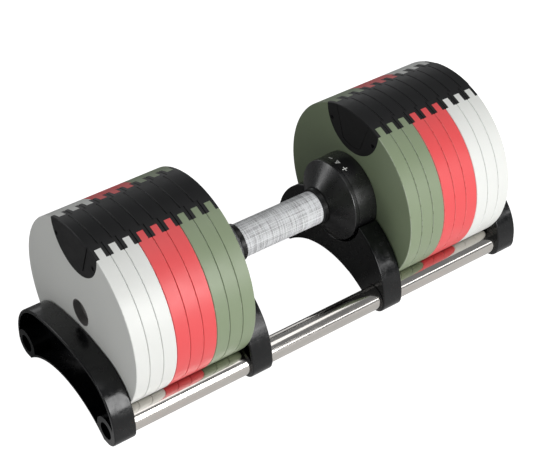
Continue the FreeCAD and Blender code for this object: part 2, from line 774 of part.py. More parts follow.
def make_hub_housing(doc):
    """Hub shell: neck, cone and ring in one, with three screw bosses and the plunger's hole."""
    body = new_body(doc, "hub_housing_body")
    profile = new_sketch(body, "housing_profile", "XZ_Plane")
    bore = "Sizes.bush_radius + Sizes.snug_gap"
    neck_inside = "Sizes.hub_neck_radius + Sizes.hub_neck_room"
    cone_rise = "(Sizes.hub_edge_radius - Sizes.hub_neck_radius)"
    cone_run = "(Sizes.hub_edge_face - Sizes.hub_neck_face)"
    inner_start = "Sizes.hub_neck_face + Sizes.hub_cone_shift"
    cone_reach = "(Sizes.hub_bore_radius - Sizes.hub_neck_radius)"
    lip_end = "Sizes.hub_edge_face + Sizes.hub_lip_width"
    groove_end = f"{lip_end} + Sizes.hub_lip_groove_width"
    groove_floor = "Sizes.hub_edge_radius - Sizes.hub_lip_groove_depth"
    add_profile(profile, [
        ("Sizes.hub_neck_face", bore),
        ("Sizes.hub_neck_face", "Sizes.hub_neck_radius"),
        ("Sizes.hub_edge_face", "Sizes.hub_edge_radius"),
        (lip_end, "Sizes.hub_edge_radius"), (lip_end, groove_floor),
        (groove_end, groove_floor), (groove_end, "Sizes.hub_edge_radius"),
        ("Sizes.hub_back_face", "Sizes.hub_back_radius"),
        ("Sizes.hub_back_face", "Sizes.hub_bore_radius"),
        (f"{inner_start} + {cone_reach} * {cone_run} / {cone_rise}", "Sizes.hub_bore_radius"),
        (f"{inner_start} + Sizes.hub_neck_room * {cone_run} / {cone_rise}", neck_inside),
        ("Sizes.hub_neck_end", neck_inside),
        ("Sizes.hub_neck_end", bore),
    ])
    revolve(body, profile)
    dress(doc, body, "Fillet", "Radius", "Sizes.hub_edge_round", value_of("Sizes.hub_edge_radius"),
          [value_of("Sizes.hub_edge_face")])
    bosses = new_sketch(body, "housing_bosses", "YZ_Plane", "Sizes.hub_boss_face")
    add_on_boss_circle(bosses, "Sizes.hub_boss_radius")
    depth = "Sizes.hub_back_face - Sizes.cover_thickness - Sizes.hub_boss_face"
    pad(body, bosses, depth)
    pilots = new_sketch(body, "housing_pilots", "YZ_Plane", "Sizes.hub_pilot_face")
    add_on_boss_circle(pilots, "Sizes.hub_screw_radius + Sizes.snug_gap")
    pocket(body, pilots)
    plunger_hole = new_sketch(body, "housing_plunger_hole", "XY_Plane")
    add_circle(plunger_hole, "Sizes.plunger_tip_radius + Sizes.plunger_gap",
               "Sizes.plunger_station", "0")
    pocket(body, plunger_hole, forward=False)
    return body


def add_on_boss_circle(sketch, radius):
    """Three circles on the bosses' pitch circle, the first one at the top."""
    for angle in HUB_SCREW_ANGLES:
        across = f"Sizes.hub_boss_offset * sin({angle} deg)"
        add_circle(sketch, radius, across, f"Sizes.hub_boss_offset * cos({angle} deg)")


def add_half_round(sketch, radius, flat):
    """Sketch the half of a circle that lies to the front of a flat."""
    flat_value = value_of(flat)
    half = math.sqrt(value_of(radius) ** 2 - flat_value ** 2)
    add_loop(sketch, [(-flat_value, half), (-flat_value, -half)], [(radius, None, None), None],
             [(0, "DistanceX", f"-({flat})"), (1, "DistanceX", f"-({flat})")])


def make_hub_cover(doc):
    """Plate that closes the hub's back, with a half-round guide that keys the selector rod."""
    body = new_body(doc, "hub_cover_body")
    plate = new_sketch(body, "cover_plate", "YZ_Plane",
                       "Sizes.hub_back_face - Sizes.cover_thickness")
    add_circle(plate, "Sizes.cover_radius")
    pad(body, plate, "Sizes.cover_thickness")
    guide = new_sketch(body, "cover_guide", "YZ_Plane", "Sizes.cover_guide_face")
    add_circle(guide, "Sizes.cover_guide_radius")
    pad(body, guide, "Sizes.hub_back_face - Sizes.cover_guide_face - Sizes.cover_guide_root")
    bore = new_sketch(body, "cover_bore", "YZ_Plane", "Sizes.cover_guide_face")
    add_half_round(bore, "Sizes.rod_radius + Sizes.rod_gap", "Sizes.rod_flat - Sizes.rod_gap")
    pocket(body, bore)
    holes = new_sketch(body, "cover_holes", "YZ_Plane", "Sizes.cover_guide_face")
    add_on_boss_circle(holes, "Sizes.hub_screw_radius + Sizes.screw_gap")
    pocket(body, holes)
    sinks = new_sketch(body, "cover_sinks", "YZ_Plane", "Sizes.hub_back_face")
    add_on_boss_circle(sinks, "Sizes.hub_screw_head_radius + Sizes.snug_gap")
    pocket(body, sinks, "Sizes.hub_screw_head_height + Sizes.hub_screw_sink", forward=False)
    return body


def make_hub_screws(doc):
    """Three cheese-head screws through each hub cover, as one group."""
    screws = []
    head = "Sizes.hub_back_face - Sizes.hub_screw_sink"
    shoulder = f"{head} - Sizes.hub_screw_head_height"
    for side, turn in SIDES.items():
        for angle in HUB_SCREW_ANGLES:
            body = new_body(doc, f"hub_screw_{side}_{angle}")
            profile = new_sketch(body, f"{body.Name}_profile", "XZ_Plane")
            add_profile(profile, [
                (f"{head} - Sizes.hub_screw_length", "0"),
                (f"{head} - Sizes.hub_screw_length", "Sizes.hub_screw_radius"),
                (shoulder, "Sizes.hub_screw_radius"), (shoulder, "Sizes.hub_screw_head_radius"),
                (head, "Sizes.hub_screw_head_radius"), (head, "0"),
            ])
            revolve(body, profile)
            body.Placement.Rotation = FreeCAD.Rotation(Vector(0, 0, 1), turn)
            sign = "-" if turn else ""
            screws.append(bind(body, {
                ".Placement.Base.y": f"{sign}Sizes.hub_boss_offset * sin({angle} deg)",
                ".Placement.Base.z": f"Sizes.hub_boss_offset * cos({angle} deg)",
            }))
    return place(doc, "hub_screws", screws, "0")


def make_bush(doc, side, turn):
    """Flanged plastic bush between the drive tube and a hub's neck."""
    body = new_body(doc, f"{side}_bush_body")
    profile = new_sketch(body, f"{side}_bush_profile", "XZ_Plane")
    bore = "Sizes.tube_radius + Sizes.tube_gap"
    add_profile(profile, [
        ("Sizes.bush_flange_face", bore), ("Sizes.bush_flange_face", "Sizes.bush_flange_radius"),
        ("Sizes.hub_neck_face", "Sizes.bush_flange_radius"),
        ("Sizes.hub_neck_face", "Sizes.bush_radius"),
        ("Sizes.hub_neck_end", "Sizes.bush_radius"), ("Sizes.hub_neck_end", bore),
    ])
    revolve(body, profile)
    body.Placement.Rotation = FreeCAD.Rotation(Vector(0, 0, 1), turn)
    return body


def make_plunger(doc):
    """Release plunger: tip through the hub's ring, stop collar and spring stem."""
    body = new_body(doc, "plunger_body")
    profile = new_sketch(body, "plunger_profile", "XZ_Plane")
    add_profile(profile, [
        ("0", "-Sizes.plunger_tip"), ("Sizes.plunger_tip_radius", "-Sizes.plunger_tip"),
        ("Sizes.plunger_tip_radius", "-Sizes.plunger_collar_low"),
        ("Sizes.plunger_collar_radius", "-Sizes.plunger_collar_low"),
        ("Sizes.plunger_collar_radius", "-Sizes.plunger_collar_high"),
        ("Sizes.plunger_stem_radius", "-Sizes.plunger_collar_high"),
        ("Sizes.plunger_stem_radius", "-Sizes.plunger_stem_top"), ("0", "-Sizes.plunger_stem_top"),
    ])
    revolve(body, profile, "V_Axis")
    return bind(body, {".Placement.Base.x": "Sizes.plunger_station"})


def make_plunger_spring(doc):
    """Coil spring between the plunger's collar and the cover's guide."""
    wire = value_of("Sizes.spring_wire_radius")
    radius = value_of("Sizes.spring_radius")
    low = wire - value_of("Sizes.plunger_collar_high - Sizes.spring_gap")
    high = -wire - value_of("Sizes.spring_seat + Sizes.spring_gap")
    pitch = (high - low) / value_of("Sizes.spring_turns")
    helix = Part.makeHelix(pitch, high - low, radius)
    section = Part.Wire(Part.makeCircle(wire, Vector(radius, 0, 0), Vector(0, 1, 0)))
    coil = Part.Wire(helix.Edges).makePipeShell([section], True, True)
    spring = doc.addObject("Part::Feature", "plunger_spring_body")
    spring.Shape = coil
    spring.Placement.Base = Vector(0, 0, low)
    return bind(spring, {".Placement.Base.x": "Sizes.plunger_station"})


def make_hubs(doc):
    """Both hubs of the handle with their bushes, covers, screws, plungers and springs."""
    nodes = place_pair(doc, "hub_housing", [make_hub_housing(doc)])
    nodes += place_pair(doc, "hub_cover", [make_hub_cover(doc)])
    bushes = [make_bush(doc, side, turn) for side, turn in SIDES.items()]
    nodes.append(place(doc, "grip_bushes", bushes, "0"))
    nodes.append(make_hub_screws(doc))
    nodes += place_pair(doc, "release_plunger", [make_plunger(doc)])
    nodes += place_pair(doc, "plunger_spring", [make_plunger_spring(doc)])
    return nodes


# ---------------------------------------------------------------- grip and selector


def make_grip_sleeve(doc):
    """Knurled outer tube that the hand holds."""
    body = new_body(doc, "grip_sleeve_body")
    profile = new_sketch(body, "sleeve_profile", "XZ_Plane")
    half, outer, edge = "Sizes.grip_half_length", "Sizes.grip_radius", "Sizes.grip_edge"
    bore = "Sizes.tube_radius + Sizes.sleeve_gap"
    add_profile(profile, [
        (f"-{half}", bore), (f"-{half}", f"{outer} - {edge}"),
        (f"-({half} - {edge})", outer), (f"{half} - {edge}", outer),
        (half, f"{outer} - {edge}"), (half, bore),
    ])
    revolve(body, profile)
    return place(doc, "grip_sleeve", [body], "0")


AXIS_ALONG_X = FreeCAD.Rotation(Vector(1, 1, 1), 120)


def helical_lead():
    """Axial length of one turn of the drive tube's slots."""
    return value_of("Sizes.rod_travel * 360 / Sizes.twist_degrees")


def make_slot_cutter(doc, name, left_handed, first_angle):
    """Helical cutter for one slot, its low-X end at first_angle about the handle's axis."""
    sweep = value_of("Sizes.twist_degrees + 2 * Sizes.slot_overrun")
    inner = value_of("Sizes.tube_bore_radius - Sizes.slot_cutter_excess")
    outer = value_of("Sizes.tube_radius + Sizes.slot_cutter_excess")
    half = value_of("Sizes.slot_width / 2")
    lead = helical_lead()
    corners = [Vector(inner, 0, -half), Vector(outer, 0, -half), Vector(outer, 0, half),
               Vector(inner, 0, half)]
    section = Part.makePolygon(corners + corners[:1])
    helix = Part.makeHelix(lead, lead * sweep / 360, (inner + outer) / 2, 0, left_handed)
    cutter = doc.addObject("Part::Feature", name)
    cutter.Shape = Part.Wire(helix.Edges).makePipeShell([section], True, True)
    spin = FreeCAD.Rotation(Vector(0, 0, 1), first_angle)
    cutter.Placement = FreeCAD.Placement(Vector(), AXIS_ALONG_X * spin)
    start = "Sizes.pin_station - Sizes.rod_travel * Sizes.slot_overrun / Sizes.twist_degrees"
    if not left_handed:
        start = f"{start} - (Sizes.rod_travel + 2 * Sizes.pin_station)"
    return bind(cutter, {".Placement.Base.x": start})


def make_drive_tube(doc):
    """Tube turned by the grip, with two helical slots of opposite hand for the rods' pins."""
    outside = doc.addObject("Part::Cylinder", "tube_outside")
    inside = doc.addObject("Part::Cylinder", "tube_inside")
    for cylinder, radius in ((outside, "Sizes.tube_radius"), (inside, "Sizes.tube_bore_radius")):
        cylinder.Placement = FreeCAD.Placement(Vector(), AXIS_ALONG_X)
        bind(cylinder, {
            "Radius": radius,
            "Height": "2 * Sizes.tube_half_length",
            ".Placement.Base.x": "-Sizes.tube_half_length",
        })
    overrun = value_of("Sizes.slot_overrun")
    twist = value_of("Sizes.twist_degrees")
    cutters = [
        inside,
        make_slot_cutter(doc, "right_rod_slot", True, 180 + overrun),
        make_slot_cutter(doc, "left_rod_slot", False, -twist - overrun),
    ]
    shape = outside
    for cutter in cutters:
        cut = doc.addObject("Part::Cut", f"tube_less_{cutter.Name}")
        cut.Base, cut.Tool = shape, cutter
        shape = cut
    return place(doc, "drive_tube", [shape], "0")


def make_rod(doc):
    """Half-round selector rod with a chamfered tip and the hole for its pin."""
    body = new_body(doc, "rod_body")
    section = new_sketch(body, "rod_section", "YZ_Plane", "Sizes.rod_tail")
    add_half_round(section, "Sizes.rod_radius", "Sizes.rod_flat")
    pad(body, section, "Sizes.rod_length")
    dress(doc, body, "Chamfer", "Size", "Sizes.rod_edge", value_of("Sizes.rod_radius"),
          [value_of("Sizes.rod_tail + Sizes.rod_length")])
    hole = new_sketch(body, "rod_pin_hole", "XZ_Plane")
    add_circle(hole, "Sizes.pin_radius + Sizes.snug_gap", "Sizes.pin_station", "0")
    pocket(body, hole)
    return body


def make_drive_pin(doc):
    """Pin that reaches from a rod through the drive tube's slot."""
    pin = doc.addObject("Part::Cylinder", "drive_pin_body")
    pin.Placement = FreeCAD.Placement(Vector(), FreeCAD.Rotation(Vector(1, 0, 0), 90))
    return bind(pin, {
        "Radius": "Sizes.pin_radius",
        "Height": "Sizes.pin_tip - Sizes.pin_root",
        ".Placement.Base.x": "Sizes.pin_station",
        ".Placement.Base.y": "-Sizes.pin_root",
    })


def make_grip(doc):
    """Grip, drive tube, selector rods and their pins."""
    nodes = [make_grip_sleeve(doc), make_drive_tube(doc)]
    nodes += place_pair(doc, "selector_rod", [make_rod(doc)])
    nodes += place_pair(doc, "drive_pin", [make_drive_pin(doc)])
    return nodes


# ---------------------------------------------------------------- build, check and write


def check(doc, nodes):
    """Stop if any object failed to rebuild or any node has no valid solid."""
    for item in doc.Objects:
        if {"Invalid", "Error"} & set(item.State):
            raise RuntimeError(f"{item.Name} did not rebuild: {item.State}")
    for node in nodes:
        shape = node.Shape
        if shape.isNull() or not shape.isValid() or not shape.Solids:
            raise RuntimeError(f"{node.Label} has no valid solid")
        if any(solid.Volume <= 0 for solid in shape.Solids):
            raise RuntimeError(f"{node.Label} has an inside-out solid")


def main():
    """Build every sub-part and write one STEP file for each."""
    os.makedirs("parts", exist_ok=True)
    doc = FreeCAD.newDocument("adjustable_dumbbell")
    make_sheet(doc)
    nodes = make_cradle(doc) + make_plates(doc) + make_hubs(doc) + make_grip(doc)
    doc.recompute()
    check(doc, nodes)
    for node in nodes:
        node.Shape.exportStep(os.path.join("parts", f"{node.Label}.step"))
        box = node.Shape.BoundBox
        print(f"{node.Label}: {len(node.Shape.Solids)} solids, {node.Shape.Volume / 1000:.2f} cm3, "
              f"x {box.XMin:.2f}..{box.XMax:.2f}, y {box.YMin:.2f}..{box.YMax:.2f}, "
              f"z {box.ZMin:.2f}..{box.ZMax:.2f}")


main()
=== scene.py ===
import json
import logging
import math
from collections.abc import Callable, Iterator
from contextlib import contextmanager
from dataclasses import dataclass
from enum import Enum

import bpy
from mathutils import Matrix, Vector

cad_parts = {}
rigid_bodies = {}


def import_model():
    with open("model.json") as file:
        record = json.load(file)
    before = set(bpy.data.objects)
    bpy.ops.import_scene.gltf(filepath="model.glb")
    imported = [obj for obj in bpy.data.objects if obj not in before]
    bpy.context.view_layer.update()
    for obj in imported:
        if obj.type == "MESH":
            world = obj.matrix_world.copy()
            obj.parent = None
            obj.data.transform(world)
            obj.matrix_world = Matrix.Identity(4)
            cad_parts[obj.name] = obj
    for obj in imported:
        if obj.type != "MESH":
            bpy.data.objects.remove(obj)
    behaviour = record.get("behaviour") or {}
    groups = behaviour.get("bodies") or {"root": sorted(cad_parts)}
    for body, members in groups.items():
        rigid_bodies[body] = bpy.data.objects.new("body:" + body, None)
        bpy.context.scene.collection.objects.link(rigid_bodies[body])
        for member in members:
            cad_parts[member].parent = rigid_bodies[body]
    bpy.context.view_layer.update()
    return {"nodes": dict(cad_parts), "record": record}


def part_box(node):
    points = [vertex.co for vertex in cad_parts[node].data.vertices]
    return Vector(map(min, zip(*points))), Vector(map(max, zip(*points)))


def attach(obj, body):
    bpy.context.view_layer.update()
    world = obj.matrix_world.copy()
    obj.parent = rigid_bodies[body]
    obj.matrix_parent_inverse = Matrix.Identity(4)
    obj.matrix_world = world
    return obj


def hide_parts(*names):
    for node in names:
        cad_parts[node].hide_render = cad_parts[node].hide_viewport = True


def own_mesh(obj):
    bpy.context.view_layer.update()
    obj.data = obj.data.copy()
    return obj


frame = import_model()

# Looks of an adjustable dumbbell standing in its cradle. Everything is in metres, in the CAD's
# frame: +X along the handle, -Y to the front, +Z up, floor at z = 0.

log = logging.getLogger("dumbbell")

MM = 0.001
QUARTER_TURN = math.pi / 2
HALF_TURN = math.pi

# Sizes that pieces and finishes share.
PLATES_PER_SIDE = 9
AXIS_HEIGHT = 86.3 * MM
PLATE_RADIUS = 86 * MM
PLATE_BORE = 12.4 * MM
FIRST_FACE = 84 * MM
PLATE_PITCH = 13 * MM
GRIP_RADIUS = 15.8 * MM
KNURL_DEPTH = 0.45 * MM

SLACK = 0.01 * MM  # leeway when points are picked by place
DOUBLED = 0.002 * MM  # points closer than this are merged
DOWNWARD = -0.9  # the normal's height below which a face is an underside
PEEL_DEPTH = 0.05 * MM  # full relief of paint and moulded plastic
STEEL_DEPTH = 0.02 * MM  # full relief of machined steel

Colour = tuple[float, float, float, float]
Place = tuple[float, float, float]
Piece = bpy.types.Object
Material = bpy.types.Material
Tree = bpy.types.NodeTree
Node = bpy.types.Node
Output = bpy.types.NodeSocket


class Side(Enum):
    """The two ends of the handle; the value is how far each is turned about +Z."""

    RIGHT = 0.0
    LEFT = HALF_TURN

    @property
    def label(self) -> str:
        """Name of the side in node and body names."""
        return self.name.lower()

    @property
    def turn(self) -> Matrix:
        """Turn that takes the right-hand end to this one."""
        return Matrix.Rotation(self.value, 4, "Z")


class Pick(Enum):
    """What edit mode selects."""

    VERTICES = (True, False, False)
    EDGES = (False, True, False)
    FACES = (False, False, True)


class Socket(Enum):
    """Recess in the top of a screw's head."""

    HEX = "hex"
    CROSS = "cross"


# ---------------- modelling by hand


def select_only(*pieces: Piece) -> None:
    """Select these objects and nothing else.

    Args:
        pieces: The objects; the first one becomes active.
    """
    for item in bpy.context.view_layer.objects:
        item.select_set(False)
    for piece in pieces:
        piece.select_set(True)
    bpy.context.view_layer.objects.active = pieces[0] if pieces else None


@contextmanager
def editing(piece: Piece, pick: Pick) -> Iterator[None]:
    """Edit mode on one piece, with the flags set on its mesh as the selection.

    Args:
        piece: The object to edit.
        pick: Whether vertices, edges or faces are selected.
    """
    select_only(piece)
    bpy.context.tool_settings.mesh_select_mode = pick.value
    bpy.ops.object.mode_set(mode="EDIT")
    try:
        yield
    finally:
        bpy.ops.object.mode_set(mode="OBJECT")


def clear_flags(piece: Piece) -> None:
    """Deselect every vertex, edge and face of a mesh."""
    for group in (piece.data.vertices, piece.data.edges, piece.data.polygons):
        group.foreach_set("select", [False] * len(group))


def pick_vertices(piece: Piece, test: Callable[[Vector], bool]) -> None:
    """Select some of a mesh's vertices.

    Args:
        piece: The mesh object.
        test: Says yes or no to a vertex's place.
    """
    clear_flags(piece)
    for vertex in piece.data.vertices:
        vertex.select = test(vertex.co)


def pick_edges(piece: Piece, test: Callable[[Vector, Vector], bool]) -> None:
    """Select some of a mesh's edges.

    Args:
        piece: The mesh object.
        test: Says yes or no to the places of an edge's two ends.
    """
    clear_flags(piece)
    points = [vertex.co.copy() for vertex in piece.data.vertices]
    for edge in piece.data.edges:
        edge.select = test(points[edge.vertices[0]], points[edge.vertices[1]])


def pick_faces(piece: Piece, test: Callable[[Vector, Vector], bool]) -> None:
    """Select some of a mesh's faces.

    Args:
        piece: The mesh object.
        test: Says yes or no to a face's centre and normal.
    """
    clear_flags(piece)
    for face in piece.data.polygons:
        face.select = test(face.center, face.normal)


def apply_place(piece: Piece) -> None:
    """Put an object's place, turn and scale into its mesh."""
    select_only(piece)
    bpy.ops.object.transform_apply(location=True, rotation=True, scale=True)


def apply_modifier(piece: Piece, kind: str, **settings: object) -> None:
    """Add a modifier, set it up and apply it.

    Args:
        piece: The mesh object.
        kind: Blender's name for the modifier's type.
        settings: Its properties.
    """
    modifier = piece.modifiers.new(kind.title(), kind)
    for name, value in settings.items():
        setattr(modifier, name, value)
    select_only(piece)
    bpy.ops.object.modifier_apply(modifier=modifier.name)


def cut_away(piece: Piece, tool: Piece) -> None:
    """Cut a tool's volume out of a piece, and remove the tool."""
    apply_modifier(piece, "BOOLEAN", operation="DIFFERENCE", solver="EXACT", object=tool)
    bpy.data.objects.remove(tool)


def outward(piece: Piece) -> None:
    """Merge doubled points and turn every face outwards.

    Args:
        piece: The mesh object.
    """
    clear_flags(piece)
    with editing(piece, Pick.FACES):
        bpy.ops.mesh.select_all(action="SELECT")
        bpy.ops.mesh.remove_doubles(threshold=DOUBLED)
        bpy.ops.mesh.normals_make_consistent(inside=False)


def smooth(piece: Piece, degrees: float) -> None:
    """Shade smooth across edges flatter than an angle."""
    select_only(piece)
    bpy.ops.object.shade_smooth_by_angle(angle=math.radians(degrees))


def draw_faces(height: float) -> None:
    """Extrude the selected faces along Z."""
    bpy.ops.mesh.extrude_region_move(TRANSFORM_OT_translate={"value": (0, 0, height)})


def draw_edges(shift: Place | Vector) -> None:
    """Extrude the selected edges."""
    bpy.ops.mesh.extrude_edges_move(TRANSFORM_OT_translate={"value": shift})


def scale_picked(*ratios: float) -> None:
    """Scale what is selected along X, Y and Z, about the origin."""
    bpy.ops.transform.resize(value=ratios, center_override=(0, 0, 0))


def stamp(template: Piece, name: str, places: list[Matrix]) -> Piece:
    """Copy a template to several places and join the copies.

    Args:
        template: The piece to copy; it stays as it is.
        name: Name of the joined piece.
        places: Where each copy goes.

    Returns:
        One object at the origin that holds all the copies.
    """
    copies = []
    for place in places:
        copy = template.copy()
        copy.data = template.data.copy()
        bpy.context.collection.objects.link(copy)
        copy.matrix_world = place
        copies.append(copy)
    bpy.context.view_layer.update()
    select_only(*copies)
    bpy.ops.object.join()
    joined = bpy.context.active_object
    apply_place(joined)
    joined.name = joined.data.name = name
    return joined


# ---------------- node groups that finishes share


class NodeBench:
    """A node tree under construction."""

    tree: Tree

    def add(self, kind: str, **links: object) -> Node:
        """Add a node; links are as in add_node."""
        return add_node(self.tree, kind, links)

    def reckon(self, operation: str, first: object, second: object = 0.0) -> Output:
        """Add a Math node and give its result."""
        return self.add("ShaderNodeMath", operation=operation, i0=first, i1=second).outputs[0]

    def spread(self, value: Output, **ends: object) -> Output:
        """Add a Map Range node between the named ends and give its result."""
        return self.add("ShaderNodeMapRange", Value=value, **ends).outputs["Result"]

    def blend(self, mask: object, under: object, over: object) -> Output:
        """Add a mix that shows one colour where the mask is 0, and the other where it is 1."""
        return self.add("ShaderNodeMix", data_type="RGBA", i0=mask, i6=under, i7=over).outputs[2]


class GroupBench(NodeBench):
    """A shader node group under construction."""

    def __init__(self, name: str, inputs: dict[str, object], outputs: dict[str, str]) -> None:
        """Make the group with named sockets.

        Args:
            name: The group's name.
            inputs: Default of each input; None makes a vector, a number a value, four a colour.
            outputs: Socket type of each output.
        """
        self.tree = bpy.data.node_groups.new(name, "ShaderNodeTree")
        for label, default in inputs.items():
            kind = "NodeSocketVector"
            if isinstance(default, float):
                kind = "NodeSocketFloat"
            elif isinstance(default, tuple):
                kind = "NodeSocketColor"
            socket = self.tree.interface.new_socket(label, in_out="INPUT", socket_type=kind)
            if default is not None:
                socket.default_value = default
        for label, kind in outputs.items():
            self.tree.interface.new_socket(label, in_out="OUTPUT", socket_type=kind)
        self.inlet = self.tree.nodes.new("NodeGroupInput").outputs
        self.outlet = self.tree.nodes.new("NodeGroupOutput").inputs

    def off_axis(self) -> Output:
        """Add the nodes that give the distance from the handle's axis.

        Returns:
            The output that holds the distance.
        """
        parts = self.add("ShaderNodeSeparateXYZ", Vector=self.inlet["Vector"])
        up = self.reckon("SUBTRACT", parts.outputs["Z"], self.inlet["Axis Height"])
        flat = self.add("ShaderNodeCombineXYZ", X=0.0, Y=parts.outputs["Y"], Z=up)
        length = self.add("ShaderNodeVectorMath", operation="LENGTH", i0=flat.outputs[0])
        return length.outputs["Value"]

    def noise(self, size: object, **settings: float) -> Output:
        """Add a noise texture and give its value."""
        return self.add("ShaderNodeTexNoise", Vector=self.inlet["Vector"], Scale=size,
                        **settings).outputs["Fac"]

    def send(self, label: str, source: Output) -> None:
        """Join an output of a node to an output of the group."""
        self.tree.links.new(source, self.outlet[label])


def add_node(tree: Tree, kind: str, links: dict[str, object]) -> Node:
    """Add a node to a tree, setting properties and joining inputs by name or number.

    Args:
        tree: The tree.
        kind: Blender's name for the node's type.
        links: Property name, input name (underscores for spaces) or i0, i1, ... to what it gets.

    Returns:
        The new node.
    """
    node = tree.nodes.new(kind)
    sockets = {}
    for label, value in links.items():
        if hasattr(node, label) and label != "color":
            setattr(node, label, value)
        else:
            sockets[label] = value
    for label, value in sockets.items():
        numbered = label[0] == "i" and label[1:].isdigit()
        socket = node.inputs[int(label[1:]) if numbered else label.replace("_", " ")]
        if isinstance(value, Output):
            tree.links.new(value, socket)
        else:
            socket.default_value = value
    return node


def make_smudge_group() -> Tree:
    """Roughness that drifts between two values in soft patches, as handling leaves it.

    Returns:
        The finished group.
    """
    bench = GroupBench("soft_smudges", {"Vector": None, "Size": 30.0, "Low": 0.3, "High": 0.4},
                       {"Roughness": "NodeSocketFloat"})
    patches = bench.noise(bench.inlet["Size"], Detail=4.0, Roughness=0.6)
    bench.send("Roughness", bench.spread(patches, From_Min=0.35, From_Max=0.65,
                                         To_Min=bench.inlet["Low"], To_Max=bench.inlet["High"]))
    return bench.tree


def make_grain_group() -> Tree:
    """Height of a fine leathery grain, as a paint's peel or a mould's spark finish.

    Returns:
        The finished group.
    """
    bench = GroupBench("fine_grain", {"Vector": None, "Size": 1500.0, "Pits": 0.5},
                       {"Height": "NodeSocketFloat"})
    cells = bench.add("ShaderNodeTexVoronoi", Vector=bench.inlet["Vector"],
                      Scale=bench.inlet["Size"])
    height = bench.add("ShaderNodeMix", i0=bench.inlet["Pits"],
                       i2=bench.noise(bench.inlet["Size"], Detail=2.0),
                       i3=cells.outputs["Distance"])
    bench.send("Height", height.outputs[0])
    return bench.tree


def make_drift_group() -> Tree:
    """Colour that darkens a little in broad patches.

    Returns:
        The finished group.
    """
    bench = GroupBench("colour_drift", {"Vector": None, "Size": 25.0,
                                        "Colour": (0.5, 0.5, 0.5, 1.0), "Amount": 0.05},
                       {"Colour": "NodeSocketColor"})
    patches = bench.noise(bench.inlet["Size"], Detail=3.0)
    weight = bench.reckon("MULTIPLY", patches, bench.inlet["Amount"])
    darker = bench.add("ShaderNodeMix", data_type="RGBA", blend_type="MULTIPLY", i0=weight,
                       i6=bench.inlet["Colour"], i7=(0.0, 0.0, 0.0, 1.0))
    bench.send("Colour", darker.outputs[2])
    return bench.tree


def make_line_group() -> Tree:
    """Height of fine lines drawn along the handle's direction, as polishing leaves them.

    Returns:
        The finished group.
    """
    bench = GroupBench("drawn_lines", {"Vector": None, "Along": 8.0, "Across": 1500.0},
                       {"Height": "NodeSocketFloat"})
    scale = bench.add("ShaderNodeCombineXYZ", X=bench.inlet["Along"], Y=bench.inlet["Across"],
                      Z=bench.inlet["Across"])
    stretched = bench.add("ShaderNodeVectorMath", operation="MULTIPLY",
                          i0=bench.inlet["Vector"], i1=scale.outputs[0])
    noise = bench.add("ShaderNodeTexNoise", Vector=stretched.outputs[0], Scale=1.0, Detail=3.0)
    bench.send("Height", noise.outputs["Fac"])
    return bench.tree


def make_valley_group() -> Tree:
    """Mask that falls from one on a round bar's skin to nothing in the valleys cut into it; it
    sets where shade is painted and where the valleys are rougher.

    Returns:
        The finished group.
    """
    bench = GroupBench("knurl_valleys", {"Vector": None, "Axis Height": AXIS_HEIGHT,
                                         "Skin": GRIP_RADIUS, "Depth": KNURL_DEPTH},
                       {"Mask": "NodeSocketFloat"})
    floor = bench.reckon("SUBTRACT", bench.inlet["Skin"], bench.inlet["Depth"])
    bench.send("Mask", bench.spread(bench.off_axis(), From_Min=floor,
                                    From_Max=bench.inlet["Skin"]))
    return bench.tree


def make_rim_rub_group() -> Tree:
    """Mask of the corners round a stack of discs on the handle's axis, ragged at its edge, where a
    lighter tone of the paint is painted as a highlight.

    Returns:
        The finished group.
    """
    bench = GroupBench("rim_rub", {"Vector": None, "Axis Height": AXIS_HEIGHT,
                                   "Rim": PLATE_RADIUS, "First Face": FIRST_FACE,
                                   "Pitch": PLATE_PITCH, "Width": 1.1 * MM},
                       {"Mask": "NodeSocketFloat"})
    inside = bench.reckon("SUBTRACT", bench.inlet["Rim"], bench.off_axis())
    parts = bench.add("ShaderNodeSeparateXYZ", Vector=bench.inlet["Vector"])
    out = bench.reckon("ABSOLUTE", parts.outputs["X"])
    past = bench.reckon("SUBTRACT", out, bench.inlet["First Face"])
    half = bench.reckon("MULTIPLY", bench.inlet["Pitch"], 0.5)
    corner = bench.reckon("ADD", inside, bench.reckon("PINGPONG", past, half))
    uneven = bench.noise(220.0, Detail=3.0)
    reach = bench.reckon("MULTIPLY", bench.inlet["Width"], uneven)
    bench.send("Mask", bench.reckon("LESS_THAN", corner, reach))
    return bench.tree


def make_bore_group() -> Tree:
    """Mask of everything closer to the handle's axis than the bores in its discs, where a dark
    grey is painted as shade.

    Returns:
        The finished group.
    """
    bench = GroupBench("bare_bore", {"Vector": None, "Axis Height": AXIS_HEIGHT,
                                     "Bore": PLATE_BORE}, {"Mask": "NodeSocketFloat"})
    bench.send("Mask", bench.reckon("LESS_THAN", bench.off_axis(), bench.inlet["Bore"]))
    return bench.tree


# ---------------- finishes


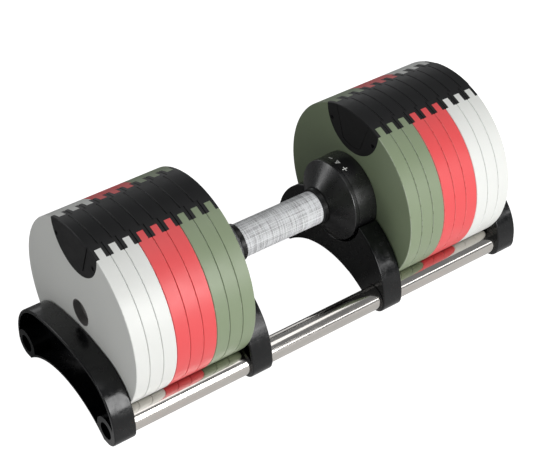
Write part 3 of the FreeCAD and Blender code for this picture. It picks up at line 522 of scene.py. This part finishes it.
class Bench(NodeBench):
    """A material under construction, its Principled shader ready and the shared groups at hand."""

    GROUPS: dict[str, Tree] = {}

    def __init__(self, name: str) -> None:
        """Start a material.

        Args:
            name: The material's name.
        """
        self.material = bpy.data.materials.new(name)
        self.material.use_nodes = True
        self.tree = self.material.node_tree
        self.shader = self.tree.nodes["Principled BSDF"]
        self.place = self.add("ShaderNodeTexCoord").outputs["Object"]

    def effect(self, name: str, **values: object) -> Node:
        """Place a shared group that reads Object coordinates.

        Args:
            name: The group's name.
            values: Its inputs, underscores for spaces.

        Returns:
            The group's node.
        """
        node = self.tree.nodes.new("ShaderNodeGroup")
        node.node_tree = self.GROUPS[name]
        self.tree.links.new(self.place, node.inputs["Vector"])
        for label, value in values.items():
            node.inputs[label.replace("_", " ")].default_value = value
        return node

    def feed(self, **sources: object) -> None:
        """Set the shader's inputs to plain values, or join outputs to them.

        Args:
            sources: Input name, with underscores for spaces, to a value or an output.
        """
        for label, source in sources.items():
            socket = self.shader.inputs[label.replace("_", " ")]
            if isinstance(source, Output):
                self.tree.links.new(source, socket)
            else:
                socket.default_value = source

    def relief(self, height: Output, depth: float, strength: float) -> None:
        """Bump the surface.

        Args:
            height: Output that gives the height.
            depth: Full depth of the relief, in metres.
            strength: Share of it that shows.
        """
        bump = self.add("ShaderNodeBump", Height=height, Distance=depth, Strength=strength)
        self.feed(Normal=bump.outputs["Normal"])


def make_groups() -> None:
    """Build every shared group once."""
    makers = (make_smudge_group, make_grain_group, make_drift_group, make_line_group,
              make_valley_group, make_rim_rub_group, make_bore_group)
    for maker in makers:
        tree = maker()
        Bench.GROUPS[tree.name] = tree


@dataclass(frozen=True)
class PowderCoat:
    """Satin paint baked on a steel plate, with a lighter tone painted on its rim corners as a
    highlight and a dark grey painted inside its bore as shade.
    """

    colour: Colour
    rubbed: Colour
    bare: Colour = (0.16, 0.155, 0.15, 1.0)
    low_gloss: float = 0.36
    high_gloss: float = 0.46

    def material(self, name: str) -> Material:
        """Make the finish's material.

        Args:
            name: The material's name.

        Returns:
            The material.
        """
        bench = Bench(name)
        drift = bench.effect("colour_drift", Colour=self.colour, Size=18.0, Amount=0.06)
        # painted highlight: a lighter tone of the paint on the rim corners of the discs
        rim_glint = bench.effect("rim_rub")
        coat = bench.blend(rim_glint.outputs["Mask"], drift.outputs["Colour"], self.rubbed)
        # painted shade: dark grey on the bore walls and the recess floors round the handle's axis
        bore = bench.effect("bare_bore")
        skin = bench.blend(bore.outputs["Mask"], coat, self.bare)
        gloss = bench.effect("soft_smudges", Size=45.0, Low=self.low_gloss, High=self.high_gloss)
        peel = bench.effect("fine_grain", Size=1100.0, Pits=0.15)
        bench.feed(Base_Color=skin, Roughness=gloss.outputs["Roughness"],
                   Specular_IOR_Level=0.45)
        bench.relief(peel.outputs["Height"], PEEL_DEPTH, strength=0.35)
        return bench.material


@dataclass(frozen=True)
class MouldedPlastic:
    """Black plastic with a fine spark-eroded texture."""

    colour: Colour
    low_gloss: float
    high_gloss: float
    patches: float = 70.0
    grain: float = 1800.0
    grain_strength: float = 0.35
    shine: float = 0.35

    def material(self, name: str) -> Material:
        """Make the finish's material.

        Args:
            name: The material's name.

        Returns:
            The material.
        """
        bench = Bench(name)
        drift = bench.effect("colour_drift", Colour=self.colour, Size=60.0, Amount=0.25)
        gloss = bench.effect("soft_smudges", Size=self.patches, Low=self.low_gloss,
                             High=self.high_gloss)
        grain = bench.effect("fine_grain", Size=self.grain, Pits=0.7)
        bench.feed(Base_Color=drift.outputs["Colour"], Roughness=gloss.outputs["Roughness"],
                   Specular_IOR_Level=self.shine)
        bench.relief(grain.outputs["Height"], PEEL_DEPTH, self.grain_strength)
        return bench.material


@dataclass(frozen=True)
class DrawnSteel:
    """Bare steel with fine lines along the handle's direction."""

    colour: Colour
    low_gloss: float
    high_gloss: float
    line_strength: float

    def material(self, name: str) -> Material:
        """Make the finish's material.

        Args:
            name: The material's name.

        Returns:
            The material.
        """
        bench = Bench(name)
        drift = bench.effect("colour_drift", Colour=self.colour, Size=35.0, Amount=0.12)
        gloss = bench.effect("soft_smudges", Size=55.0, Low=self.low_gloss, High=self.high_gloss)
        lines = bench.effect("drawn_lines", Along=6.0, Across=2200.0)
        bench.feed(Base_Color=drift.outputs["Colour"], Roughness=gloss.outputs["Roughness"],
                   Metallic=1.0)
        bench.relief(lines.outputs["Height"], STEEL_DEPTH, self.line_strength)
        return bench.material


@dataclass(frozen=True)
class KnurledSteel:
    """Bright steel, rougher in the valleys of its knurl and painted darker there as shade, with
    darker streaks along and round the bar painted as the knurl's shading.
    """

    colour: Colour
    valley_colour: Colour
    scuff_colour: Colour
    gloss: float
    valley_gloss: float
    grain_strength: float
    metallic: float

    def material(self, name: str) -> Material:
        """Make the finish's material.

        Args:
            name: The material's name.

        Returns:
            The material.
        """
        bench = Bench(name)
        drift = bench.effect("colour_drift", Colour=self.colour, Size=150.0, Amount=0.15)
        # painted shade: a darker grey in the knurl's valleys
        valleys = bench.effect("knurl_valleys")
        shade = bench.blend(valleys.outputs["Mask"], self.valley_colour, drift.outputs["Colour"])
        # painted shade: darker streaks along and round the bar stand in for the shading of the
        # knurl's facets
        lines = bench.effect("drawn_lines", Along=20.0, Across=1250.0)
        rings = bench.effect("drawn_lines", Along=1250.0, Across=45.0)
        marks = bench.reckon("ADD", lines.outputs["Height"], rings.outputs["Height"])
        streaks = bench.spread(marks, From_Min=0.92, From_Max=1.2)
        gloss = bench.spread(valleys.outputs["Mask"], To_Min=self.valley_gloss, To_Max=self.gloss)
        grain = bench.effect("fine_grain", Size=3000.0, Pits=0.4)
        bench.feed(Base_Color=bench.blend(streaks, shade, self.scuff_colour), Roughness=gloss,
                   Metallic=self.metallic)
        bench.relief(grain.outputs["Height"], STEEL_DEPTH, self.grain_strength)
        return bench.material


@dataclass(frozen=True)
class GrainedSteel:
    """Steel with an even fine grain: blasted or black oxide."""

    colour: Colour
    low_gloss: float
    high_gloss: float
    grain_strength: float

    def material(self, name: str) -> Material:
        """Make the finish's material.

        Args:
            name: The material's name.

        Returns:
            The material.
        """
        bench = Bench(name)
        drift = bench.effect("colour_drift", Colour=self.colour, Size=150.0, Amount=0.2)
        gloss = bench.effect("soft_smudges", Size=90.0, Low=self.low_gloss, High=self.high_gloss)
        grain = bench.effect("fine_grain", Size=3000.0, Pits=0.4)
        bench.feed(Base_Color=drift.outputs["Colour"], Roughness=gloss.outputs["Roughness"],
                   Metallic=1.0)
        bench.relief(grain.outputs["Height"], STEEL_DEPTH, self.grain_strength)
        return bench.material


def make_finishes() -> dict[str, Material]:
    """Make one material for each material slot of the record.

    Returns:
        The materials by slot.
    """
    finishes = {
        # the second colour of each paint is the lighter tone painted on the rim corners as a
        # highlight
        "green_paint": PowderCoat((0.235, 0.29, 0.18, 1.0), (0.32, 0.37, 0.27, 1.0)),
        "red_paint": PowderCoat((0.78, 0.085, 0.09, 1.0), (0.82, 0.16, 0.16, 1.0)),
        "white_paint": PowderCoat((0.76, 0.77, 0.74, 1.0), (0.82, 0.83, 0.81, 1.0)),
        "key_plastic": MouldedPlastic((0.014, 0.014, 0.0145, 1.0), 0.38, 0.48, shine=0.25),
        "bracket_plastic": MouldedPlastic((0.002, 0.0023, 0.0027, 1.0), 0.13, 0.3, patches=160.0,
                                          grain=700.0, grain_strength=0.28, shine=0.4),
        "hub_plastic": MouldedPlastic((0.006, 0.006, 0.0065, 1.0), 0.24, 0.32, grain=2600.0,
                                      grain_strength=0.15, shine=0.75),
        "cover_plastic": MouldedPlastic((0.018, 0.018, 0.019, 1.0), 0.45, 0.55),
        "bush_plastic": MouldedPlastic((0.006, 0.006, 0.006, 1.0), 0.2, 0.28, grain=2600.0,
                                       grain_strength=0.1),
        "foot_rubber": MouldedPlastic((0.02, 0.02, 0.02, 1.0), 0.75, 0.85, grain=1200.0,
                                      grain_strength=0.6),
        "polished_rail": DrawnSteel((0.68, 0.65, 0.61, 1.0), 0.1, 0.16, 0.05),
        "tube_steel": DrawnSteel((0.50, 0.50, 0.51, 1.0), 0.28, 0.38, 0.5),
        "rod_steel": DrawnSteel((0.58, 0.58, 0.59, 1.0), 0.22, 0.32, 0.5),
        "pin_steel": DrawnSteel((0.48, 0.48, 0.50, 1.0), 0.25, 0.33, 0.4),
        "plunger_steel": DrawnSteel((0.58, 0.58, 0.58, 1.0), 0.22, 0.3, 0.3),
        "spring_steel": DrawnSteel((0.5, 0.5, 0.52, 1.0), 0.25, 0.35, 0.3),
        # after the steel's colour: the grey painted as shade in the knurl's valleys, then the grey
        # of the painted shade streaks
        "knurled_steel": KnurledSteel((0.97, 0.98, 0.99, 1.0), (0.72, 0.73, 0.74, 1.0),
                                      (0.36, 0.36, 0.37, 1.0), gloss=0.26, valley_gloss=0.5,
                                      grain_strength=0.2, metallic=0.15),
        "screw_steel": GrainedSteel((0.025, 0.025, 0.027, 1.0), 0.38, 0.48, 0.3),
    }
    return {slot: finish.material(slot) for slot, finish in finishes.items()}


# ---------------- pieces


@dataclass
class Workshop:
    """Finishes at hand, and the last step of every new piece."""

    finishes: dict[str, Material]

    def hand_over(self, piece: Piece, slot: str, body: str) -> Piece:
        """Dress a finished piece and let it ride on a body.

        Args:
            piece: The piece, already in place with its place in its mesh.
            slot: Material slot of the record.
            body: The CAD body that carries it.

        Returns:
            The same piece.
        """
        piece.data.materials.clear()
        piece.data.materials.append(self.finishes[slot])
        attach(piece, body)
        log.info("%s: %d faces, rides on %s", piece.name, len(piece.data.polygons), body)
        return piece

    def dress_cad(self, record: dict) -> None:
        """Give every CAD node the finish of its material slot.

        Args:
            record: The part's record.
        """
        for part in record["subparts"]:
            node = frame["nodes"][part["node"]]
            node.data.materials.clear()
            node.data.materials.append(self.finishes[part["material_slot"]])
            log.info("%s: %s", node.name, part["material_slot"])


@dataclass
class Screw:
    """A screw along +Z, the seat of its head at z = 0."""

    head_radius: float
    head_height: float
    head_round: float
    socket: Socket
    socket_width: float
    socket_depth: float
    sides: int = 24
    round_steps: int = 3
    shank_radius: float = 0.0
    shank_length: float = 0.0
    chamfer_share: float = 0.25

    def build(self) -> Piece:
        """Model the screw.

        Returns:
            The finished mesh object, at the origin.
        """
        select_only()
        bpy.ops.mesh.primitive_cylinder_add(vertices=self.sides, radius=self.head_radius,
                                            depth=self.head_height,
                                            location=(0, 0, self.head_height / 2))
        screw = bpy.context.active_object
        apply_place(screw)
        self.round_head(screw)
        if self.shank_length:
            self.draw_shank(screw)
        self.sink_socket(screw)
        outward(screw)
        smooth(screw, 35)
        return screw

    def round_head(self, screw: Piece) -> None:
        """Round the head's top corner.

        Args:
            screw: The screw so far.
        """
        top = self.head_height - SLACK
        pick_edges(screw, lambda a, b: a.z > top and b.z > top)
        with editing(screw, Pick.EDGES):
            bpy.ops.mesh.bevel(offset=self.head_round, segments=self.round_steps)

    def draw_shank(self, screw: Piece) -> None:
        """Inset the head's underside and draw the shank out of it, with a chamfered end.

        Args:
            screw: The screw so far.
        """
        pick_faces(screw, lambda centre, normal: normal.z < DOWNWARD)
        chamfer = self.shank_radius * self.chamfer_share
        taper = 1 - self.chamfer_share
        with editing(screw, Pick.FACES):
            bpy.ops.mesh.inset(thickness=self.head_radius - self.shank_radius)
            draw_faces(chamfer - self.shank_length)
            draw_faces(-chamfer)
            scale_picked(taper, taper, 1)

    def sink_socket(self, screw: Piece) -> None:
        """Cut the driver's recess into the head.

        Args:
            screw: The screw so far.
        """
        middle = (0, 0, self.head_height)
        height = 2 * self.socket_depth
        if self.socket is Socket.HEX:
            bpy.ops.mesh.primitive_cylinder_add(vertices=6, radius=self.socket_width / 2,
                                                depth=height, location=middle)
            cut_away(screw, bpy.context.active_object)
            return
        slot = self.socket_width / 4
        for size in ((self.socket_width, slot, height), (slot, self.socket_width, height)):
            bpy.ops.mesh.primitive_cube_add(size=1, location=middle)
            bar = bpy.context.active_object
            bar.scale = size
            apply_place(bar)
            cut_away(screw, bar)


@dataclass
class KeyScrews:
    """Small cross-head screws sunk in both faces of every plate's plastic key."""

    first_face: float = FIRST_FACE
    pitch: float = PLATE_PITCH
    thickness: float = 12.7 * MM
    well_depth: float = 1.4 * MM
    offset: float = 28.6 * MM
    height: float = 66 * MM
    axis_height: float = AXIS_HEIGHT

    def build(self, shop: Workshop) -> None:
        """Model one screw head and set four in each key.

        Args:
            shop: Dresses each piece and lets it ride.
        """
        head = Screw(head_radius=1.75 * MM, head_height=1.1 * MM, head_round=0.4 * MM,
                     socket=Socket.CROSS, socket_width=2.1 * MM, socket_depth=0.6 * MM,
                     sides=16, round_steps=2).build()
        for side in Side:
            for number in range(1, PLATES_PER_SIDE + 1):
                name = f"{side.label}_plate_{number}"
                places = [side.turn @ place for place in self.places(number)]
                screws = stamp(head, f"{side.label}_key_screws_{number}", places)
                shop.hand_over(screws, "screw_steel", name)
        bpy.data.objects.remove(head)

    def places(self, number: int) -> list[Matrix]:
        """Place the four heads of one right-hand plate.

        Args:
            number: The plate's number, counted from the grip.

        Returns:
            One matrix for each head.
        """
        face = self.first_face + (number - 1) * self.pitch
        seats = ((face + self.well_depth, -QUARTER_TURN),
                 (face + self.thickness - self.well_depth, QUARTER_TURN))
        places = []
        for x, lean in seats:
            for y in (-self.offset, self.offset):
                spot = Vector((x, y, self.axis_height + self.height))
                places.append(Matrix.Translation(spot) @ Matrix.Rotation(lean, 4, "Y"))
        return places


@dataclass
class RailScrews:
    """Button-head screws in the end brackets' recesses."""

    seat: float = 213.4 * MM
    offset: float = 66.2 * MM
    height: float = 15 * MM

    def build(self, shop: Workshop) -> None:
        """Model one screw and set four.

        Args:
            shop: Dresses each piece and lets it ride.
        """
        screw = Screw(head_radius=6.2 * MM, head_height=3.6 * MM, head_round=2.2 * MM,
                      socket=Socket.HEX, socket_width=4.6 * MM, socket_depth=2 * MM,
                      round_steps=4, shank_radius=2.8 * MM, shank_length=14 * MM).build()
        places = []
        for side in Side:
            for y in (-self.offset, self.offset):
                spot = Matrix.Translation((self.seat, y, self.height))
                places.append(side.turn @ spot @ Matrix.Rotation(QUARTER_TURN, 4, "Y"))
        screws = stamp(screw, "rail_button_screws", places)
        bpy.data.objects.remove(screw)
        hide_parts("rail_screws")
        shop.hand_over(screws, "screw_steel", "cradle")


@dataclass
class CoverScrews:
    """Cross-head screws that hold each hub's cover."""

    seat: float = 81.6 * MM
    circle: float = 31.2 * MM
    axis_height: float = AXIS_HEIGHT
    angles: tuple[float, ...] = (0.0, 120.0, 240.0)

    def build(self, shop: Workshop) -> None:
        """Model one screw and set three in each cover.

        Args:
            shop: Dresses each piece and lets it ride.
        """
        screw = Screw(head_radius=3.7 * MM, head_height=1.9 * MM, head_round=0.5 * MM,
                      socket=Socket.CROSS, socket_width=4 * MM, socket_depth=1.2 * MM,
                      shank_radius=1.9 * MM, shank_length=10.1 * MM).build()
        places = []
        for side in Side:
            for angle in map(math.radians, self.angles):
                spot = Vector((self.seat, self.circle * math.sin(angle),
                               self.axis_height + self.circle * math.cos(angle)))
                lean = Matrix.Rotation(QUARTER_TURN, 4, "Y")
                places.append(side.turn @ Matrix.Translation(spot) @ lean)
        screws = stamp(screw, "cover_cross_screws", places)
        bpy.data.objects.remove(screw)
        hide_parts("hub_screws")
        shop.hand_over(screws, "screw_steel", "handle")


@dataclass
class PlungerSprings:
    """Coil springs over the release plungers' stems."""

    wire: float = 0.45 * MM
    radius: float = 2.6 * MM
    turns: int = 7
    steps_per_turn: int = 20
    wire_sides: int = 10
    travel: float = 4 * MM

    def build(self, shop: Workshop) -> None:
        """Model and set one spring in each hub, where its CAD node stands.

        Args:
            shop: Dresses each piece and lets it ride.
        """
        for side in Side:
            node = f"{side.label}_plunger_spring"
            low, high = (Vector(corner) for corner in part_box(node))
            length = high.z - low.z
            middle = (low + high) / 2
            spring = self.model(length)
            spring.location = (middle.x, middle.y, low.z)
            apply_place(spring)
            spring.name = spring.data.name = f"{side.label}_coil_spring"
            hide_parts(node)
            shop.hand_over(spring, "spring_steel", "handle")
            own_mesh(spring)

    def model(self, length: float) -> Piece:
        """Model one coil that stands on z = 0.

        Args:
            length: Its length, from end to end.

        Returns:
            The finished mesh object.
        """
        select_only()
        bpy.ops.mesh.primitive_circle_add(vertices=self.wire_sides, radius=self.wire,
                                          location=(self.radius, 0, self.wire),
                                          rotation=(QUARTER_TURN, 0, 0))
        spring = bpy.context.active_object
        apply_place(spring)
        pitch = (length - 2 * self.wire) / self.turns
        apply_modifier(spring, "SCREW", axis="Z", screw_offset=pitch, iterations=self.turns,
                       steps=self.steps_per_turn, render_steps=self.steps_per_turn)
        clear_flags(spring)
        with editing(spring, Pick.EDGES):
            bpy.ops.mesh.select_all(action="SELECT")
            bpy.ops.mesh.fill_holes(sides=0)
        outward(spring)
        smooth(spring, 50)
        return spring


@dataclass
class FootPads:
    """Rubber pads under the brackets, each with a raised lip round its underside."""

    stations: tuple[float, ...] = (72.8 * MM, 211.9 * MM)
    offset: float = 64.9 * MM
    length: float = 16 * MM
    width: float = 6.4 * MM
    thickness: float = 1 * MM
    corner: float = 1.6 * MM
    corner_steps: int = 4
    lip: float = 1.1 * MM
    hollow: float = 0.3 * MM

    def build(self, shop: Workshop) -> None:
        """Model one pad and set eight.

        Args:
            shop: Dresses each piece and lets it ride.
        """
        pad = self.model()
        places = [Matrix.Translation((sign * station, y, 0))
                  for station in self.stations for sign in (-1, 1)
                  for y in (-self.offset, self.offset)]
        pads = stamp(pad, "lipped_foot_pads", places)
        bpy.data.objects.remove(pad)
        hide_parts("foot_pads")
        shop.hand_over(pads, "foot_rubber", "cradle")

    def model(self) -> Piece:
        """Model one pad standing on the floor.

        Returns:
            The mesh object.
        """
        select_only()
        bpy.ops.mesh.primitive_cube_add(size=1, location=(0, 0, self.thickness / 2))
        pad = bpy.context.active_object
        pad.scale = (self.length, self.width, self.thickness)
        apply_place(pad)
        pick_edges(pad, lambda a, b: abs(a.z - b.z) > self.thickness / 2)
        with editing(pad, Pick.EDGES):
            bpy.ops.mesh.bevel(offset=self.corner, segments=self.corner_steps)
        pick_faces(pad, lambda centre, normal: normal.z < DOWNWARD)
        with editing(pad, Pick.FACES):
            bpy.ops.mesh.inset(thickness=self.lip)
            draw_faces(self.hollow)
        outward(pad)
        smooth(pad, 35)
        return pad


@dataclass
class KnurledGrip:
    """Grip sleeve with a real diamond knurl between two plain bands."""

    radius: float = GRIP_RADIUS
    valley: float = KNURL_DEPTH
    half_length: float = 42.3 * MM
    band: float = 0.5 * MM
    band_drop: float = 0.3 * MM
    edge: float = 0.4 * MM
    bore: float = 13.62 * MM
    teeth: int = 54
    rows: int = 84
    axis_height: float = AXIS_HEIGHT

    def build(self, shop: Workshop) -> None:
        """Model the sleeve and put it on the handle's axis.

        Args:
            shop: Dresses each piece and lets it ride.
        """
        sleeve = self.blank()
        self.cut_diamonds(sleeve)
        for sign in (-1, 1):
            self.finish_end(sleeve, sign)
        self.line_bore(sleeve)
        outward(sleeve)
        sleeve.location = (0, 0, self.axis_height)
        apply_place(sleeve)
        sleeve.name = sleeve.data.name = "knurled_grip"
        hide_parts("grip_sleeve")
        shop.hand_over(sleeve, "knurled_steel", "grip")

    @property
    def knurl_half(self) -> float:
        """Half the length of the knurled part."""
        return self.half_length - self.band - self.edge

    def blank(self) -> Piece:
        """Open cylinder along +X, cut into rows of small squares.

        Returns:
            The mesh object.
        """
        select_only()
        bpy.ops.mesh.primitive_cylinder_add(vertices=2 * self.teeth, radius=self.radius,
                                            depth=2 * self.knurl_half,
                                            end_fill_type="NOTHING",
                                            rotation=(0, QUARTER_TURN, 0))
        sleeve = bpy.context.active_object
        apply_place(sleeve)
        pick_edges(sleeve, lambda a, b: abs(a.x - b.x) > self.knurl_half)
        with editing(sleeve, Pick.EDGES):
            bpy.ops.mesh.subdivide(number_cuts=self.rows - 1)
        return sleeve

    def cut_diamonds(self, sleeve: Piece) -> None:
        """Lower every other point of the squares, and split them along the valleys.

        Args:
            sleeve: The open cylinder.
        """
        step = math.tau / (2 * self.teeth)
        row = 2 * self.knurl_half / self.rows

        def in_valley(point: Vector) -> bool:
            """Whether a point is one of those to lower."""
            around = round(math.atan2(point.z, point.y) / step)
            along = round((point.x + self.knurl_half) / row)
            return (around + along) % 2 == 1 or along in (0, self.rows)

        pick_vertices(sleeve, in_valley)
        shrink = 1 - self.valley / self.radius
        with editing(sleeve, Pick.VERTICES):
            scale_picked(1, shrink, shrink)
            bpy.ops.mesh.select_all(action="SELECT")
            bpy.ops.mesh.quads_convert_to_tris(quad_method="SHORTEST_DIAGONAL")

    def finish_end(self, sleeve: Piece, sign: int) -> None:
        """Draw one end out into a plain band, a chamfer and a flat face.

        Args:
            sleeve: The knurled wall.
            sign: Which end, -1 or 1.
        """
        reach = self.knurl_half - SLACK
        low = self.radius - self.valley
        steps = (
            (0.0, self.radius - self.band_drop),
            (self.band, self.radius - self.band_drop),
            (self.edge, self.radius - self.band_drop - self.edge),
            (0.0, self.bore),
        )
        pick_edges(sleeve, lambda a, b: sign * a.x > reach and sign * b.x > reach)
        with editing(sleeve, Pick.EDGES):
            for run, radius in steps:
                draw_edges((sign * run, 0, 0))
                scale_picked(1, radius / low, radius / low)
                low = radius

    def line_bore(self, sleeve: Piece) -> None:
        """Close the sleeve with the wall of its bore.

        Args:
            sleeve: The sleeve with both ends drawn.
        """
        inside = self.bore + SLACK
        end = self.half_length - SLACK

        def on_mouth(point: Vector) -> bool:
            """Whether a point lies on the rim of the bore."""
            return abs(point.x) > end and math.hypot(point.y, point.z) < inside

        pick_edges(sleeve, lambda a, b: on_mouth(a) and on_mouth(b))
        with editing(sleeve, Pick.EDGES):
            bpy.ops.mesh.bridge_edge_loops()


@dataclass
class HubMarks:
    """White minus, pointer and plus printed over the top of each hub's ring."""

    station: float = 68.7 * MM
    ring_radius: float = 38.9 * MM
    step_degrees: float = 15.5
    stroke: float = 1.0 * MM
    arm: float = 2.0 * MM
    pointer_radius: float = 2.9 * MM
    pointer_wall: float = 0.8 * MM
    film: float = 0.16 * MM
    lift: float = 4 * MM
    axis_height: float = AXIS_HEIGHT

    def build(self, shop: Workshop) -> None:
        """Model and print the three marks of both hubs.

        Args:
            shop: Dresses each piece and lets it ride.
        """
        makers = (("minus", self.make_minus, -1), ("pointer", self.make_pointer, 0),
                  ("plus", self.make_plus, 1))
        for side in Side:
            housing = frame["nodes"][f"{side.label}_hub_housing"]
            for label, maker, step in makers:
                mark = maker()
                tilt = Matrix.Rotation(math.radians(step * self.step_degrees), 4, "X")
                reach = Matrix.Translation((self.station, 0, self.ring_radius + self.lift))
                axis = Matrix.Translation((0, 0, self.axis_height))
                mark.matrix_world = axis @ side.turn @ tilt @ reach
                bpy.context.view_layer.update()
                self.print_on(mark, housing)
                mark.name = mark.data.name = f"{side.label}_hub_{label}"
                shop.hand_over(mark, "white_paint", "handle")

    def print_on(self, mark: Piece, housing: Piece) -> None:
        """Press a flat mark on to the ring and give it the thickness of its film.

        Args:
            mark: The mark, above the ring.
            housing: The CAD node that has the ring.
        """
        apply_modifier(mark, "SUBSURF", subdivision_type="SIMPLE", levels=2, render_levels=2)
        apply_modifier(mark, "SHRINKWRAP", target=housing, wrap_method="PROJECT",
                       use_project_z=True, use_negative_direction=True,
                       use_positive_direction=False)
        apply_modifier(mark, "SOLIDIFY", thickness=self.film, offset=0.0)
        apply_place(mark)
        outward(mark)
        smooth(mark, 30)

    def square(self) -> Piece:
        """Flat square of one stroke's width.

        Returns:
            The mesh object.
        """
        select_only()
        bpy.ops.mesh.primitive_plane_add(size=self.stroke)
        return bpy.context.active_object

    def draw_arms(self, mark: Piece, directions: tuple[Vector, ...]) -> None:
        """Extrude arms out of a square's sides.

        Args:
            mark: The square.
            directions: Unit vector of each arm.
        """
        half = self.stroke / 2

        def on_side(point: Vector, direction: Vector) -> bool:
            """Whether a point lies on the square's side in one direction."""
            along = point.dot(direction)
            return along > half - SLACK and (point - along * direction).length < half + SLACK

        for direction in directions:
            pick_edges(mark, lambda a, b: on_side(a, direction) and on_side(b, direction))
            with editing(mark, Pick.EDGES):
                draw_edges(direction * self.arm)

    def make_minus(self) -> Piece:
        """Bar along the ring's turn.

        Returns:
            The mesh object.
        """
        mark = self.square()
        self.draw_arms(mark, (Vector((0, 1, 0)), Vector((0, -1, 0))))
        return mark

    def make_plus(self) -> Piece:
        """Cross of two bars.

        Returns:
            The mesh object.
        """
        mark = self.square()
        self.draw_arms(mark, (Vector((0, 1, 0)), Vector((0, -1, 0)),
                              Vector((1, 0, 0)), Vector((-1, 0, 0))))
        return mark

    def make_pointer(self) -> Piece:
        """Outlined triangle that points at the grip.

        Returns:
            The mesh object.
        """
        select_only()
        bpy.ops.mesh.primitive_circle_add(vertices=3, radius=self.pointer_radius,
                                          fill_type="NGON", rotation=(0, 0, QUARTER_TURN))
        mark = bpy.context.active_object
        apply_place(mark)
        pick_faces(mark, lambda centre, normal: True)
        with editing(mark, Pick.FACES):
            bpy.ops.mesh.inset(thickness=self.pointer_wall)
            bpy.ops.mesh.delete(type="FACE")
        return mark


# ---------------- studio


@dataclass(frozen=True)
class Lamp:
    """A soft box: where it hangs, its width and height, and its power in watts."""

    name: str
    place: Place
    size: tuple[float, float]
    power: float


@dataclass
class Studio:
    """Pale floor, soft lamps and the camera."""

    camera_place: Place = (-0.6332, -0.8520, 0.9123)
    camera_aim: Place = (-0.0118, -0.0060, 0.0863)
    focal_length: float = 101.3
    sensor_width: float = 36.0
    floor_size: float = 12.0
    floor_colour: Colour = (0.32, 0.32, 0.32, 1.0)
    floor_glow_front: float = 1.5
    floor_glow_seen: float = 3.2
    glow_start: float = -0.02
    glow_full: float = -0.08
    sky_colour: Colour = (0.9, 0.92, 0.95, 1.0)
    sky_strength: float = 0.06
    sky_reflected: float = 0.26
    lamps: tuple[Lamp, ...] = (
        Lamp("key_lamp", (0.22, -1.5, 0.58), (0.8, 0.9), 20.5),
        Lamp("strip_lamp", (1.15, -1.45, 0.5), (1.7, 0.16), 3.2),
        Lamp("top_lamp", (0.45, -0.3, 1.8), (1.2, 1.0), 5.5),
        Lamp("side_lamp", (-1.5, -0.15, 0.4), (0.3, 1.0), 4.4),
        Lamp("edge_lamp", (-0.85, 0.9, 0.62), (0.35, 0.7), 2.5),
        Lamp("back_lamp", (0.5, 1.6, 0.4), (2.6, 0.6), 3.4),
    )

    def build(self) -> None:
        """Set up the floor, lights and camera."""
        bpy.context.scene.view_settings.view_transform = "Standard"
        self.lay_floor()
        self.light_sky()
        for lamp in self.lamps:
            self.hang_lamp(lamp)
        self.set_camera()

    def lay_floor(self) -> None:
        """Lay a large pale floor with a faint glow, so that it stays even and bright."""
        select_only()
        bpy.ops.mesh.primitive_plane_add(size=self.floor_size, location=(0, 0, 0))
        floor = bpy.context.active_object
        floor.name = "floor"
        bench = Bench("floor")
        drift = bench.effect("colour_drift", Colour=self.floor_colour, Size=1.5, Amount=0.02)
        along = bench.add("ShaderNodeSeparateXYZ", Vector=bench.place)
        pool = bench.spread(along.outputs["Y"], From_Min=self.glow_full,
                            From_Max=self.glow_start, To_Min=self.floor_glow_front, To_Max=0.0)
        path = bench.add("ShaderNodeLightPath")
        glow = bench.spread(path.outputs["Is Camera Ray"], To_Min=pool,
                            To_Max=self.floor_glow_seen)
        bench.feed(Base_Color=drift.outputs["Colour"], Roughness=0.9, Specular_IOR_Level=0.1,
                   Emission_Color=self.floor_colour, Emission_Strength=glow)
        floor.data.materials.append(bench.material)

    def light_sky(self) -> None:
        """Give the surroundings a weak even light, and a pale look where they are seen."""
        world = bpy.data.worlds.new("studio")
        world.use_nodes = True
        tree = world.node_tree
        back = tree.nodes["Background"]
        back.inputs["Color"].default_value = self.sky_colour
        path = tree.nodes.new("ShaderNodeLightPath")
        mirrored = add_node(tree, "ShaderNodeMapRange", {
            "Value": path.outputs["Is Glossy Ray"], "To_Min": self.sky_strength,
            "To_Max": self.sky_reflected})
        level = add_node(tree, "ShaderNodeMapRange", {
            "Value": path.outputs["Is Camera Ray"], "To_Min": mirrored.outputs["Result"],
            "To_Max": 1.0})
        tree.links.new(level.outputs["Result"], back.inputs["Strength"])
        bpy.context.scene.world = world

    def hang_lamp(self, lamp: Lamp) -> None:
        """Hang a soft box that faces the object.

        Args:
            lamp: What to hang, and where.
        """
        data = bpy.data.lights.new(lamp.name, "AREA")
        data.shape = "RECTANGLE"
        data.size, data.size_y = lamp.size
        data.energy = lamp.power
        self.point_at_part(bpy.data.objects.new(lamp.name, data), lamp.place)

    def set_camera(self) -> None:
        """Place the camera and make it the scene's own."""
        data = bpy.data.cameras.new("camera")
        data.lens = self.focal_length
        data.sensor_width = self.sensor_width
        camera = bpy.data.objects.new("camera", data)
        self.point_at_part(camera, self.camera_place)
        bpy.context.scene.camera = camera

    def point_at_part(self, item: Piece, place: Place) -> None:
        """Put a lamp or the camera in its place, facing the object.

        Args:
            item: The lamp or camera.
            place: Where it goes.
        """
        bpy.context.collection.objects.link(item)
        item.location = place
        gaze = Vector(self.camera_aim) - Vector(place)
        item.rotation_euler = gaze.to_track_quat("-Z", "Y").to_euler()


def main() -> None:
    """Dress the CAD nodes, build the new pieces in order and set up the studio."""
    logging.basicConfig(level=logging.INFO, format="%(name)s: %(message)s")
    make_groups()
    shop = Workshop(make_finishes())
    shop.dress_cad(frame["record"])
    for piece in (KnurledGrip(), HubMarks(), KeyScrews(), RailScrews(), CoverScrews(),
                  PlungerSprings(), FootPads()):
        piece.build(shop)
    Studio().build()


if __name__ == "__main__":
    main()
